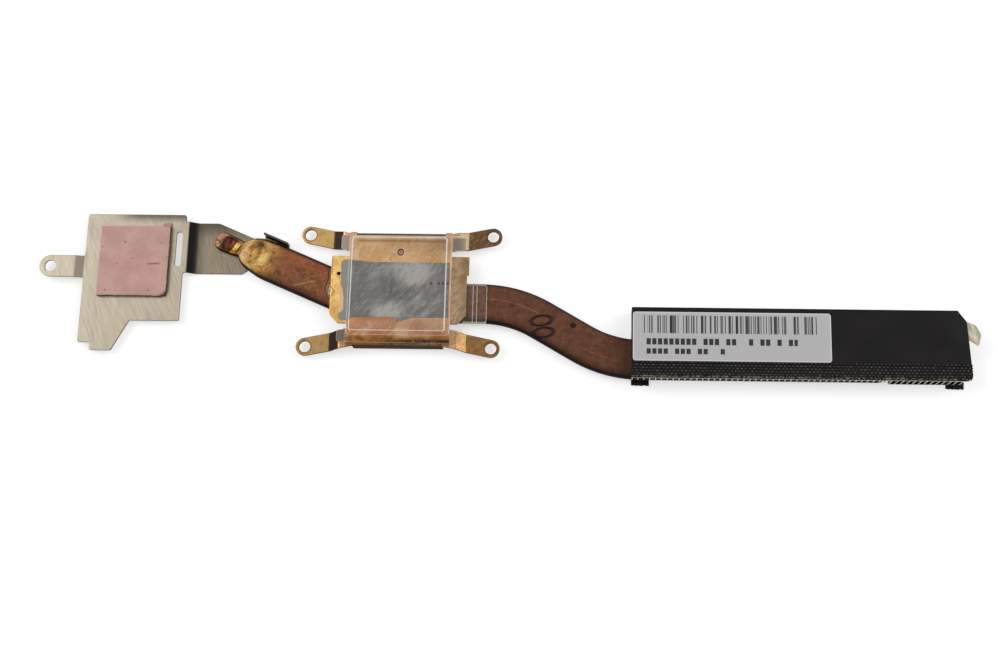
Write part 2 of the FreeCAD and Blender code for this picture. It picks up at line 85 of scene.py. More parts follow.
def tip_relief(along, across):
    """How far the top of the pinched end stands above or below its flat form."""
    z = sum(h * bell(along, a, a_reach) * bell(across, c, c_reach) for h, a, a_reach, c, c_reach in tip_forms)
    z += 0.16 * bell(along, 0.7, 0.6) * sin(across * 5 + along * 2)
    z += 0.20 * bell(along, 3.95, 0.3) - 0.16 * bell(along, 2.4, 0.5)
    grain = noise.fractal(Vector((along * 1.5, across * 1.5, 3)), 0.7, 2, 5) * 0.13
    return z + grain * min(max((15 - along) / 2.5, 0), 1)


stations = np.concatenate([np.arange(0, 1.6, 0.1), np.arange(1.6, 14, 0.16), np.arange(14, 30, 0.5),
                           np.arange(30, pipe_end - 2, 1), np.linspace(pipe_end - 2, pipe_end, 11)])
turn_steps = np.linspace(0, pi, 11)[1:-1]
ring = [(a, 0, 1) for a in np.linspace(1, -1, 29)]
ring += [(-1, -sin(t), cos(t)) for t in turn_steps]
ring += [(a, 0, -1) for a in np.linspace(-1, 1, 7)]
ring += [(1, sin(t), -cos(t)) for t in turn_steps]
width_at = ([0, 0.15, 0.5, 1, 1.7, 4.4, 6, 6.35, 6.6, 7, 7.6, 8.4, 9.4, 10.6, 12.2, 13.6,
             pipe_end - 1.6, pipe_end - 0.8, pipe_end - 0.3, pipe_end],
            [0.9, 2, 3.1, 3.75, 4.1, 3.9, 3.5, 3.8, 4.5, 5.3, 6.2, 7, 7.6, 8.05, 8.45, 8.6,
             8.6, 8.3, 7.4, 5.4])
thick_at = ([0, 0.4, 1.2, 4.5, 6, 6.6, 8, 10, 13.6, pipe_end - 4, pipe_end],
            [0.7, 1.05, 1.1, 1.05, 1.25, 1.6, 1.85, 1.95, 2, 2, 1.5])


def put(name, data):
    """Object in the scene with its data."""
    thing = bpy.data.objects.new(name, data)
    scene.collection.objects.link(thing)
    return thing


def solid_mesh(name, points, faces, smooth=True):
    """Mesh object from points in millimetres."""
    mesh = bpy.data.meshes.new(name)
    mesh.from_pydata([(x * MM, y * MM, z * MM) for x, y, z in points], [], faces)
    mesh.polygons.foreach_set("use_smooth", [smooth] * len(mesh.polygons))
    mesh.update()
    return put(name, mesh)


def wrap_faces(rows, columns, first=0):
    """Faces of a tube of rows rings with columns points each."""
    quads = [(first + r * columns, c, (c + 1) % columns) for r in range(rows - 1) for c in range(columns)]
    return [(k + c, k + columns + c, k + columns + d, k + d) for k, c, d in quads]


def store(piece, name, values):
    """Keeps one number a point on the mesh, for its finish."""
    layer = piece.data.attributes.new(name, "FLOAT", "POINT")
    layer.data.foreach_set("value", values)


points, places = [], []
for s in stations:
    x, y, heading = pipe_place(s)
    half_width, half_thick = [float(np.interp(s, *sizes)) / 2 for sizes in (width_at, thick_at)]
    for a, c, h in ring:
        across = a * (half_width - half_thick) + c * half_thick + 0.14 * bell(s, 9.2, 3)
        z = pipe_low + half_thick + h * half_thick
        if h > 0 and s < 15:
            z += tip_relief(s, across) * h * (1 - abs(a) ** 6)
        points.append((x - sin(heading) * across, y + cos(heading) * across, z))
        # The third number is 0 on the top and 1 round the sides and underside; the finish paints the sides dark
        # as shade.
        places.append((s, across, 1 - max(h, 0)))
columns = len(ring)
faces = wrap_faces(len(stations), columns)
faces.append(tuple(range(columns)))
faces.append(tuple(range(len(points) - columns, len(points)))[::-1])
heat_pipe = solid_mesh("heat_pipe_formed", points, faces)
for name, values in zip(("along", "across", "edge"), zip(*places)):
    store(heat_pipe, name, values)


def srgb(red, green, blue):
    """Linear colour of an 8-bit screen colour."""
    parts = [v / 255 for v in (red, green, blue)]
    return tuple(v / 12.92 if v < 0.04045 else ((v + 0.055) / 1.055) ** 2.4 for v in parts) + (1,)


class Value:
    """A number that varies over a surface, for plain arithmetic in a finish."""

    def __init__(self, graph, socket):
        self.graph = graph
        self.socket = socket

    def math(self, operation, *others):
        node = self.graph.tree.nodes.new("ShaderNodeMath")
        node.operation = operation
        for socket, value in zip(node.inputs, (self, *others)):
            self.graph.feed(socket, value)
        return Value(self.graph, node.outputs[0])

    __add__ = __radd__ = partialmethod(math, "ADD")
    __sub__ = partialmethod(math, "SUBTRACT")
    __rsub__ = partialmethod(math, "MULTIPLY_ADD", -1)
    __mul__ = __rmul__ = partialmethod(math, "MULTIPLY")
    __truediv__ = partialmethod(math, "DIVIDE")
    __neg__ = partialmethod(math, "MULTIPLY", -1)
    __abs__ = partialmethod(math, "ABSOLUTE")


class Graph:
    """Tree of nodes, each given numbers, colours or the values of other nodes."""

    def feed(self, socket, value):
        """Links or sets a socket; three numbers for a colour are an 8-bit screen colour."""
        if isinstance(value, Value):
            self.tree.links.new(value.socket, socket)
        elif socket.type == "RGBA" and len(value) == 3:
            socket.default_value = srgb(*value)
        else:
            socket.default_value = value

    def node(self, kind, output=0, settings=None, **inputs):
        node = self.tree.nodes.new(kind)
        for key, value in (settings or {}).items():
            setattr(node, key, value)
        for key, value in inputs.items():
            self.feed(node.inputs[key.replace("_", " ")], value)
        return Value(self, node.outputs[output]) if node.outputs else None


class Finish(Graph):
    """Procedural material that reads its place on the object in millimetres."""

    def __init__(self, name, **constants):
        self.material = bpy.data.materials.new(name)
        self.material.use_nodes = True
        self.tree = self.material.node_tree
        self.shader = self.tree.nodes["Principled BSDF"]
        self.paint(**constants)
        metres = self.node("ShaderNodeTexCoord", "Object")
        self.place = self.node("ShaderNodeVectorMath", 0, {"operation": "SCALE"}, Vector=metres, Scale=1000)
        self.x, self.y, self.z = [self.node("ShaderNodeSeparateXYZ", axis, Vector=self.place) for axis in "XYZ"]

    def attribute(self, name):
        return self.node("ShaderNodeAttribute", "Fac", {"attribute_name": name})

    def noise(self, size, detail=2, stretch=(1, 1), turn=0, rough=0.5, shift=(0, 0, 0)):
        """Noise from 0 to 1 with features of about size millimetres, drawn out by stretch."""
        scale = (size * stretch[0], size * stretch[1], size)
        vector = self.node("ShaderNodeMapping", 0, {"vector_type": "TEXTURE"}, Vector=self.place,
                           Location=shift, Rotation=(0, 0, turn), Scale=scale)
        return self.node("ShaderNodeTexNoise", "Fac", Vector=vector, Scale=1, Detail=detail, Roughness=rough)

    def step(self, value, low, high):
        """Smooth rise from 0 at low to 1 at high."""
        settings = {"interpolation_type": "SMOOTHSTEP"}
        return self.node("ShaderNodeMapRange", 0, settings, Value=value, From_Min=low, From_Max=high)

    def fall(self, value, low, high):
        """Smooth fall from 1 at low to 0 at high."""
        return 1 - self.step(value, low, high)

    def band(self, value, low, high, soft):
        """1 between low and high, with soft ends."""
        return self.step(value, low - soft, low + soft) * self.fall(value, high - soft, high + soft)

    def near(self, value, middle, reach):
        """1 at middle, falling smoothly to 0 at reach."""
        return self.fall(abs(value - middle), 0, reach)

    def away(self, x, y):
        """Distance in plan from a point."""
        dx, dy = self.x - x, self.y - y
        return (dx * dx + dy * dy).math("SQRT")

    def mix(self, share, first, second):
        blend = self.node("ShaderNodeMix", 2, {"data_type": "RGBA"})
        for place, value in zip((0, 6, 7), (share, first, second)):
            self.feed(blend.socket.node.inputs[place], value)
        return blend

    def layers(self, colour, coats):
        """Colour with coats of (share, colour) laid over it in turn."""
        for share, coat in coats:
            colour = self.mix(share, colour, coat)
        return colour

    def bump(self, height, distance, **more):
        return self.node("ShaderNodeBump", Height=height, Distance=distance * MM, Strength=1, **more)

    def paint(self, **inputs):
        for key, value in inputs.items():
            self.feed(self.shader.inputs[key.replace("_", " ")], value)


def ring_mark(f, middle_x, middle_y, half_length, half_width, turn):
    """1 on a flattened printed ring."""
    dx = f.x - middle_x
    dy = f.y - middle_y
    u = (dx * cos(turn) + dy * sin(turn)) / half_length
    v = (dy * cos(turn) - dx * sin(turn)) / half_width
    radius = (u * u + v * v).math("SQRT")
    return f.band(radius, 0.62, 1, 0.08) * (0.75 + 0.25 * f.step(abs(v), 0.1, 0.6))


f = Finish("stained_copper", Metallic=0.85)
along, across, edge = [f.attribute(name) for name in ("along", "across", "edge")]
blotch = f.noise(1.3, 6, rough=0.65)
fine = f.noise(0.28, 4, rough=0.7)
cloud = f.noise(3.4, 5, rough=0.6)
speckle = f.noise(0.55, 5, rough=0.75)
back_glow = f.band(across, 1.4, 3.7, 0.8) * f.band(along, 15, 26, 2)
gold_zone = f.near(along, 9.6, 6.5) * f.step(fine * 0.5 + blotch * 0.5, 0.38, 0.54)
pale_rim = f.near(along, 7.2, 1.5) * f.step(speckle * 0.5 + fine * 0.5, 0.43, 0.55)
# Shoulder dimple: its one-sided dark crescent and dark ring are painted shade in the dent.
ring_u = (along - 9.25 + 0.4 * (blotch - 0.5)) / 0.6
ring_v = (across - 0.1) / 1.6
ring_radius = (ring_u * ring_u + ring_v * ring_v).math("SQRT")
crescent = f.near(ring_radius, 1.5, 1) * f.step(across + 1.2 * along, 9.6, 11.6)
# Pinched end: the bowl of its trough is painted dark as shade, its wall painted shade, its rim and the gold
# band across it painted highlights.
bowl_u = (along - 3.7 + 1.2 * (blotch - 0.5)) / 2.25
bowl_v = (across + 0.15 + 0.9 * (speckle - 0.5)) / 1.95
bowl = ((bowl_u * bowl_u).math("POWER", 1.5) + (bowl_v * bowl_v).math("POWER", 1.5)).math("POWER", 0.33)
rim_side = f.step(across - 0.9 * along, -1.6, 0.4)
wall_shade = f.near(along + 0.35 * across, 2.6, 0.9) * f.fall(bowl, 0.6, 0.95)
glow = f.near(along - 0.1 * across + 0.4 * (blotch - 0.5), 3.75, 0.7) * f.near(across, 0.2, 1.5)
gold_highlight_band = f.band(along - 0.15 * across + 0.25 * (speckle - 0.5), 4.3, 5.35, 0.2)
gold_highlight_band = gold_highlight_band * f.band(across, -1.75, 1.05, 0.25)
pale_line = f.near(across - 0.7 * along, -16.9, 0.42) * f.band(along, 19.8, 24, 0.8)
flux_x = -15.15 - 0.6 * f.near(f.y, 0.3, 2.4)
flux = f.near(f.x - flux_x, 0, 0.18) * f.fall(abs(f.y - 1.2), 3, 3.3)
right = f.layers((84, 54, 40), (
    (f.step(blotch, 0.36, 0.66), (108, 70, 50)),
    (f.step(cloud, 0.45, 0.62) * 0.35, (110, 64, 52)),
    (f.step(f.noise(1.8, 6, turn=0.4, rough=0.7), 0.52, 0.64) * 0.35, (114, 84, 48)),
    (f.step(speckle, 0.56, 0.7) * 0.4, (140, 98, 64)),
    (f.fall(speckle, 0.32, 0.44) * 0.4, (58, 36, 28)),
    (f.step(f.x, 40, 49) * 0.4, (62, 38, 30))))
left = f.layers((92, 56, 38), (
    (f.step(blotch, 0.38, 0.62), (132, 84, 52)),
    (f.step(cloud, 0.47, 0.58) * 0.6, (138, 78, 64)),
    (f.step(f.noise(1.6, 6, turn=0.9, rough=0.7), 0.5, 0.62) * 0.6, (112, 92, 50)),
    (f.step(speckle, 0.54, 0.68) * 0.5, (168, 118, 66)),
    (f.fall(speckle, 0.32, 0.44) * 0.55, (62, 36, 28)),
    (back_glow * (0.1 + 0.45 * speckle), (166, 88, 58)),
    (gold_zone * 0.9, (214, 168, 92)),
    (pale_rim * 0.8, (232, 200, 146)),
    (f.near(along, 8.1, 0.8) * f.near(across, 1.3, 1.3) * speckle, (196, 112, 46)),
    (f.near(along - 0.3 * across, 11.3, 1.9) * f.near(across, -0.5, 2.6) * 0.85, (224, 200, 122)),
    (f.near(along, 10, 1.6) * f.near(across, 2.5, 1.2) * 0.85, (56, 34, 20)),
    # Painted shade: the crescent here and the dark ring two lines down, in the shoulder dimple.
    (crescent * 0.65 * (0.5 + 0.8 * speckle), (82, 52, 26)),
    (f.fall(ring_radius, 0.5, 1.1) * 0.75, (204, 158, 84)),
    (f.near(ring_radius, 1, 0.35) * 0.4 * speckle, (78, 48, 22)),
    # Painted highlight on the bowl's rim, painted shade in the bowl and on its wall.
    (f.near(bowl, 1.08, 0.2) * rim_side * (0.4 + 0.6 * speckle), (220, 166, 118)),
    (f.fall(bowl, 0.78, 1) * 0.95, (54, 27, 18)),
    (wall_shade * (0.3 + 0.7 * speckle), (128, 72, 52)),
    (glow * 0.8, (160, 70, 56)),
    (f.near(along, 3.85, 0.4) * f.near(across, 0.75, 0.5) * 0.6, (212, 104, 104)),
    # Painted highlight: the gold band across the trough.
    (gold_highlight_band * 0.95, f.mix(f.near(across, 0.15, 1.2), (204, 132, 40), (255, 232, 112))),
    (f.near(along - 0.15 * across, 4.95, 0.22) * f.band(across, -1.7, 0.8, 0.3) * 0.6, (150, 88, 28)),
    # Painted highlights on the folds of the lip at the very end.
    (f.near(along, 0.8, 0.9) * f.step(speckle, 0.4, 0.58), (226, 172, 126)),
    (f.near(f.x, -16.8, 3.4) * f.near(across, 2.6, 1.5) * 0.45, (136, 60, 54)),
    (pale_line * 0.35 * f.step(fine, 0.3, 0.6), (206, 160, 112)),
    (flux * 0.8, (58, 30, 22)),
    (f.step(f.x - flux_x, 0.1, 0.3) * f.fall(f.x, -14.6, -14.4) * f.step(speckle, 0.3, 0.6) * 0.5,
     (180, 136, 112))))
scratch = f.near(across, 0.9, 0.2) * f.band(f.x, 18, 29.5, 1) * f.step(fine, 0.36, 0.5)
scratch = scratch + f.near(across, -0.9, 0.18) * f.band(f.x, 39, 45, 1) * f.step(fine, 0.36, 0.5)
ink = ring_mark(f, 30, -6.15, 2.6, 1.3, 0.15)
ink = ink.math("MAXIMUM", ring_mark(f, 30.5, -8.75, 2.6, 1.25, 0.15))
ink = ink.math("MAXIMUM", f.fall(f.away(36.72, -7.15), 0.5, 0.7))
marked = f.layers(left, (
    (f.step(f.x, 5, 18), right),
    (f.step(f.noise(0.16, 2), 0.6, 0.75) * 0.22, (190, 140, 100)),
    (scratch * 0.35 * f.step(speckle, 0.36, 0.56), (190, 138, 96)),
    (f.fall(f.away(23.6, -2.95), 0.2, 0.8) * 0.5, (56, 34, 28)),
    # Painted shade on the front and back flanks of the shoulder.
    (f.step(across, 3.2, 4.2) * f.step(along, 9, 13) * f.fall(f.x, -14, -10) * 0.6, (60, 36, 26)),
    (f.step(-across, 2, 4.1) * f.step(along, 9, 13) * 0.75, (40, 26, 20)),
    # Painted shade: the rounded sides of the pipe painted near black.
    (f.step(edge, 0.015, 0.3), (20, 15, 12)),
    (ink * (0.65 + 0.3 * f.step(fine, 0.3, 0.5)), (24, 18, 18))))
f.paint(Base_Color=marked, Roughness=0.32 + 0.25 * speckle, Normal=f.bump(fine * 0.4 + speckle, 0.16))
heat_pipe.data.materials.append(f.material)
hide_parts("heat_pipe")
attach(heat_pipe, "root")

# Spring plate: one stamping of copper alloy with four stepped screw arms and two wings.
# Bright rolled sheet, stained brown, its cut edges painted dark, partly sheared metal and partly painted shade;
# soldered across the pipe.


def cut_edge(f, radius):
    """1 on cut sides and rolled-over edges, 0 on flat faces; and the eased normal."""
    normal = f.node("ShaderNodeBevel", 0, {"samples": 6}, Radius=radius * MM)
    rise = f.node("ShaderNodeSeparateXYZ", "Z", Vector=normal)
    return f.step(1 - abs(rise), 0.16, 0.42), normal


def dress(name):
    """Gives the finish to a CAD node that keeps its form."""
    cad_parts[name].material_slots[0].material = f.material


f = Finish("copper_alloy_sheet")
stain = f.noise(1.2, 5, rough=0.6)
cloud = f.noise(5, 3)
grain = f.noise(0.22, 3, (1, 8), -0.6)
rub = f.noise(0.5, 4, (1, 3), -0.7, 0.65)
dimple = f.away(0, 8.25)
side, to_back = f.step(f.x, -2, 2), f.step(f.y, -1, 1)
arm_right = f.mix(to_back, (158, 116, 72), (118, 88, 58))
hole_x, hole_y = abs(f.x) - 19.5, abs(f.y) - 12.2
hole = (hole_x * hole_x + hole_y * hole_y).math("SQRT")
arm = f.step(abs(f.x), 12, 12.4) * f.step(abs(f.y), 7.5, 7.8)
arm_colour = f.layers((182, 144, 92), (
    (to_back, (204, 166, 108)),
    (side, arm_right),
    (f.step(rub, 0.5, 0.66) * 0.3, (226, 186, 130)),
    (f.step(stain, 0.5, 0.68) * 0.35, (96, 70, 42)),
    (f.band(hole, 1.2, 1.5, 0.12) * 0.55, (84, 58, 32))))
# Joggles of the arms: the left ones painted dark and the right ones lighter, painted shade and light by the way
# they face.
joggle = f.band(abs(f.x), 12.3, 14.5, 0.1) * f.step(abs(f.y), 7.6, 7.8)
back_colour = f.mix(side, (58, 44, 34), (150, 128, 104))
front_colour = f.mix(side, (48, 37, 29), f.mix(f.step(grain, 0.35, 0.6), (136, 100, 58), (176, 138, 90)))
front = f.step(-f.y, 9.9, 10.4) * f.fall(abs(f.x), 10.8, 11)
streak = f.band(f.y, -11.6, -10.7, 0.25) * f.step(f.x, -7, 3) * f.step(stain, 0.3, 0.5)
wing = f.step(abs(f.x), 10.8, 11) * f.fall(abs(f.y), 7.3, 7.5)
flow = abs(f.y + 0.55) / 1.15 + (f.x + 14.5) / 0.95
left_wing = f.layers((255, 212, 136), (
    (f.step(stain, 0.4, 0.65), (232, 184, 110)),
    (f.step(rub, 0.48, 0.66) * 0.4, (200, 150, 84)),
    (f.step(-f.y, 1.5, 5) * 0.55, (214, 158, 82)),
    (f.band(f.x, -12.5, -11, 0.15) * f.band(f.y, -5, 0.6, 0.4), (228, 190, 150)),
    (f.band(flow, 0.86, 1.04, 0.06) * 0.75, (104, 66, 24)),
    (f.fall(f.x, -14.3, -14.05) * f.step(f.y, 3, 3.3) * 0.5, (120, 80, 34))))
right_wing = f.layers((166, 134, 98), (
    (f.step(rub, 0.36, 0.66), (206, 170, 128)),
    (f.step(f.x, 12, 14.2) * 0.5, (136, 106, 76)),
    (f.step(f.noise(0.3, 3), 0.6, 0.72) * 0.5, (110, 80, 48))))
sheared_and_shaded, eased_normal = cut_edge(f, 0.2)
# Front flange: its outer face painted near black and dull, painted shade on the face turned down and away from
# the light.
flange = f.step(-f.z, -0.95, -0.6) * f.step(abs(f.y), 12, 12.1) * f.fall(abs(f.x), 9.4, 9.6)
colour = f.layers((180, 112, 60), (
    (f.step(f.y, -5, 9), (210, 164, 112)),
    (f.step(cloud, 0.42, 0.62) * 0.6, (238, 198, 150)),
    (f.step(rub, 0.5, 0.64) * 0.35, (244, 206, 158)),
    (f.step(stain, 0.52, 0.68) * 0.4, (150, 104, 62)),
    # Painted shade: the plate darker towards the back right.
    (f.near(f.x, 9, 8) * f.near(f.y, 9.6, 3.4) * 0.45, (150, 108, 66)),
    # Painted shadow: the dark band the cover's back wall throws onto the plate.
    (f.band(f.y, 10.45, 11, 0.25) * f.fall(abs(f.x - 0.3), 9, 9.8) * 0.55, (112, 76, 38)),
    (f.near(f.x, -9.6, 2.6) * f.near(f.y, -7, 3) * 0.6, (226, 146, 66)),
    (f.near(f.x, 5, 7) * f.near(f.y, -7.4, 2) * 0.5, (150, 100, 72)),
    (f.near(f.y, -7.4, 2.4) * 0.3, (200, 168, 146)),
    # Painted reflection: the dark back bend of the plate.
    (f.step(f.y, 11.5, 12.1) * f.fall(abs(f.x), 9.3, 9.6) * 0.85, (46, 32, 16)),
    # Dimple: painted shade in its middle and round its wall, painted highlight round its outer rim.
    (f.fall(dimple, 0.62, 0.7) * 0.6, (126, 88, 58)),
    (f.band(dimple, 0.52, 0.74, 0.08) * 0.9, (58, 38, 20)),
    (f.band(dimple, 0.84, 0.96, 0.06) * 0.5, (236, 200, 150)),
    (arm, arm_colour),
    # Painted shade and light on the joggles.
    (joggle, f.mix(to_back, front_colour, back_colour)),
    (front * 0.75, f.mix(f.step(stain, 0.35, 0.65), (158, 112, 44), (104, 68, 20))),
    (front * streak * 0.9, (56, 36, 12)),
    (wing, f.mix(side, left_wing, right_wing)),
    # Cut edges painted dark: sheared metal and painted shade.
    (sheared_and_shaded * 0.85, (44, 30, 18)),
    (flange, (9, 7, 6))))
f.paint(Base_Color=colour, Metallic=0.9 - 0.9 * flange, Roughness=0.28 + 0.2 * grain + 0.5 * flange,
        Normal=f.bump(grain * 0.4 + stain + rub, 0.022, Normal=eased_normal))
dress("spring_plate")

# Thermal paste: a thin printed coat of grey compound on the plate, run over onto the left wing.
# Bumpy, with smooth glossy patches and a ragged lower edge; it sticks to the plate.
paste_x0, paste_length, paste_width = -12.75, 23.2, 12
paste_low, paste_thick, paste_limit = 1.3, 0.12, 6.78
paste_columns, paste_rows = 230, 130


def ragged(value, size, seed):
    """Rough line about 0, for torn and spread edges."""
    return noise.fractal(Vector((value / size, seed, 0.5)), 0.8, 2, 4)


def paste_edge(x, side):
    """Upper (side 1) or lower (side -1) edge of the paste."""
    y = side * (paste_width / 2 + 0.1 * ragged(x, 0.9, 4 + side))
    if side > 0:
        y += 0.55 * min(max((-6.5 - x) / 4.5, 0), 1)
    if x < -9.8 and side < 0:
        y -= 0.7 * min(-9.8 - x, 1)
    if x < -12:
        y -= side * 0.5 * ((-12 - x) / 0.75) ** 2
    if side < 0 and -0.75 < x < 3:
        y -= min((x + 0.75) / 0.25, 1) * (3 - x) / 3.6 * (1 + 0.5 * ragged(x, 0.3, 9))
    return max(min(y, paste_limit), -paste_limit)


def paste_left(y):
    """Left edge of the paste, drawn in where the wing is bare."""
    places = ((-6.8, -12.4), (-6.2, -12.72), (-5.2, -12.5), (-4.7, -11.8), (-4.2, -11.58), (-1.9, -11.62),
              (0.1, -11.95), (0.9, -12.25), (1.6, -12.4), (6, -12.5), (6.8, -12.2))
    return float(np.interp(y, *zip(*places))) + 0.06 * ragged(y, 0.6, 2)


points = []
for i in range(paste_columns + 1):
    a = i / paste_columns
    for j in range(paste_rows + 1):
        b = j / paste_rows
        x = paste_x0 + a * paste_length
        low, high = paste_edge(x, -1), paste_edge(x, 1)
        y = low + b * (high - low)
        start = paste_left(y)
        x = start + a * (paste_x0 + paste_length - start)
        lumps = noise.fractal(Vector(((x - y) / 1.5, (x + y) / 2, 7)), 0.9, 2.1, 4)
        rim = min(min(a, 1 - a) * paste_length, min(b, 1 - b) * paste_width)
        spread = 0.4 if x < -10.4 else 1
        z = paste_low + min(rim / 0.25, 1) * max(0.02, min(paste_thick, 0.07 + 0.03 * spread * lumps))
        points.append((x, y, z))


def grid_faces(columns, rows):
    """Faces of a grid whose points are kept column by column."""
    stride = rows + 1
    corners = [i * stride + j for i in range(columns) for j in range(rows)]
    return [(k, k + stride, k + stride + 1, k + 1) for k in corners]


def grid_border(columns, rows):
    """Places of the points round such a grid, anticlockwise."""
    stride = rows + 1
    half = [i * stride for i in range(columns)] + [columns * stride + j for j in range(rows)]
    return half + [columns * stride + rows - k for k in half]


faces = grid_faces(paste_columns, paste_rows)
faces.append(tuple(grid_border(paste_columns, paste_rows)[::-1]))
paste = solid_mesh("paste_coat", points, faces)

f = Finish("grey_compound", Specular_IOR_Level=0.6)
lumps = f.noise(1.1, 5, (1, 1.35), -0.7, 0.55)
# The lumps shifted towards the light; the difference paints highlights and shade on their sides.
lit_side = f.noise(1.1, 5, (1, 1.35), -0.7, 0.55, (-0.2, 0.16, 0))
patch = f.noise(3, 4, (0.8, 1.6), -0.7)
light = f.near(f.x - 0.4 * f.y, -1.2, 5) * f.near(f.y, -4.6, 2.8)
light = light.math("MAXIMUM", f.near(f.x, 2.5, 7) * f.near(f.y, 3.6, 4.6))
spill = f.fall(f.x, -10.6, -10.2)
tone = light * 0.7 + (patch - 0.5) * 1.3 + 0.15
lump_highlight_and_shade = (lumps - lit_side) * (1 - 0.85 * spill)
bare_sliver = f.near(f.x - 0.5 * (f.y + 5.9), 0.3, 0.5) * f.near(f.y, -5.92, 0.16)
tick = f.band(f.y, 1.16, 1.72, 0.06) * f.band(f.x, 6.35, 10.6, 0.05)
dash = sum(f.band(f.x, start, end, 0.05) for start, end in ((6.4, 7), (8.1, 8.55), (8.9, 9.5), (9.9, 10.5)))
grey = f.layers((96, 93, 90), (
    (f.step(tone, 0.05, 0.75), (158, 155, 150)),
    # Painted highlight and painted shade on the sides of the lumps.
    (f.step(lump_highlight_and_shade, 0.03, 0.14) * 0.3, (184, 182, 178)),
    (f.step(-lump_highlight_and_shade, 0.03, 0.14) * 0.45, (58, 56, 54)),
    (spill * 0.9, (136, 133, 128)),
    (bare_sliver, (206, 130, 72)),
    (tick * dash * f.step(f.noise(0.3, 2), 0.3, 0.42), (14, 12, 12))))
f.paint(Base_Color=grey, Roughness=0.48 + 0.2 * lumps, Normal=f.bump(lumps, 0.3))
paste.data.materials.append(f.material)
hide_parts("thermal_paste")
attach(paste, "root")

# Clear cover: thin plastic formed into a low dome over the paste, with a flat rim and a pull tab.
# Clear, its folds and cut edges painted white, partly stress whitening and partly painted highlight; it rests
# on the paste and the plate.
cover_low = 1.42
dome_half, dome_front, dome_back = 10.8, -9.75, 11.75
rib_radius, rib_steps = 0.11, 6
# Rings of the dome: how far in, how high, how white (stress whitening and painted highlight)
dome_levels = [(-0.12, 0, 0), (-0.03, 0.01, 0.5), (0.06, 0.05, 0.4), (0.14, 0.16, 0.03), (0.66, 1.66, 0.03),
               (0.71, 1.84, 0.15), (0.77, 1.97, 0.85), (0.9, 2.06, 0.8), (1, 2.088, 0.1), (1.1, 2.095, 0),
               (3, 2.08, 0), (6, 2.06, 0), (9, 2.05, 0)]


def rounded_loop(x0, x1, y0, y1, radius, corner_steps=8, side_steps=24):
    """Points round a rectangle with rounded corners, counted alike on every loop."""
    left, right, front, back = x0 + radius, x1 - radius, y0 + radius, y1 - radius
    corners = []
    for k, (x, y) in enumerate(((right, back), (left, back), (left, front), (right, front))):
        turns = [pi / 2 * (k + i / corner_steps) for i in range(corner_steps + 1)]
        corners.append([(x + radius * cos(t), y + radius * sin(t)) for t in turns])
    loop = []
    for corner, following in zip(corners, corners[1:] + corners[:1]):
        (x, y), (end_x, end_y) = corner[-1], following[0]
        side = [i / side_steps for i in range(1, side_steps)]
        loop += corner + [(x + u * (end_x - x), y + u * (end_y - y)) for u in side]
    return loop


rim_corners = [(-12.6, 11.9, 0.6), (-12.6, 8.6, 0.6), (-11.25, 8.6, 0.25), (-11.25, -8.75, 0.25),
               (-12.75, -8.75, 0.6), (-12.75, -11.4, 0.7), (13.55, -11.55, 1.3), (13.55, -7.75, 0.9),
               (18.55, -7.75, 1.3), (18.55, 1.15, 0.5), (11.25, 1.15, 0.25), (11.25, 8.6, 0.25),
               (14, 8.6, 0.5), (14, 11.9, 0.5)]


def rounded_outline(corners, steps=6):
    """Points along a closed outline whose corners are (x, y, radius)."""
    run = []
    for i, (x, y, radius) in enumerate(corners):
        here = Vector((x, y))
        back = (Vector(corners[i - 1][:2]) - here).normalized()
        ahead = (Vector(corners[(i + 1) % len(corners)][:2]) - here).normalized()
        half = back.angle(ahead) / 2
        reach = radius / tan(half)
        centre = here + (back + ahead).normalized() * radius / sin(half)
        start, end = [here + way * reach - centre for way in (back, ahead)]
        run += [tuple(centre + start.slerp(end, k / steps).normalized() * radius) for k in range(steps + 1)]
    return run


def inset_loop(loop, distance):
    """Loop moved inwards, for one that runs anticlockwise."""
    moved = []
    for i, (x, y) in enumerate(loop):
        run = (Vector(loop[(i + 1) % len(loop)]) - Vector(loop[i - 1])).normalized()
        moved.append((x - run.y * distance, y + run.x * distance))
    return moved


def rim_white_and_highlight(x, y):
    """How white the cut edge of the rim is painted: stress whitening and painted highlight, brightest on the
    right.
    """
    if x > 18 or (x > 14 and y < -6.5):
        return 0.6
    if abs(x) > 11.4 and abs(y) > 8:
        return 0.3
    return 0.03


points, white_fold_and_highlight_values, loops = [], [], []
for inset, height, white_fold_and_highlight in dome_levels:
    loop = rounded_loop(inset - dome_half, dome_half - inset, dome_front + 0.6 * inset, dome_back - inset,
                        max(0.75 - inset * 0.3, 0.3))
    loops.append(loop)
    points += [(x, y, cover_low + height) for x, y in loop]
    white_fold_and_highlight_values += [white_fold_and_highlight] * len(loop)
columns = len(loops[0])
faces = wrap_faces(len(loops), columns)
faces.append(tuple(range(len(points) - columns, len(points))))
outer = rounded_outline(rim_corners)
rim_first = len(points)
for distance, strength in ((0, 1), (0.08, 0.8), (0.15, 0)):
    loop = inset_loop(outer, distance)
    points += [(x, y, cover_low) for x, y in loop]
    white_fold_and_highlight_values += [strength * rim_white_and_highlight(x, y) for x, y in outer]
faces += wrap_faces(3, len(outer), rim_first)
flat = [[Vector((x, y, 0)) for x, y in outline] for outline in (loop, loops[0])]
places = [*range(len(points) - len(loop), len(points)), *range(columns)]
faces += [tuple(places[i] for i in triangle) for triangle in tessellate_polygon(flat)]
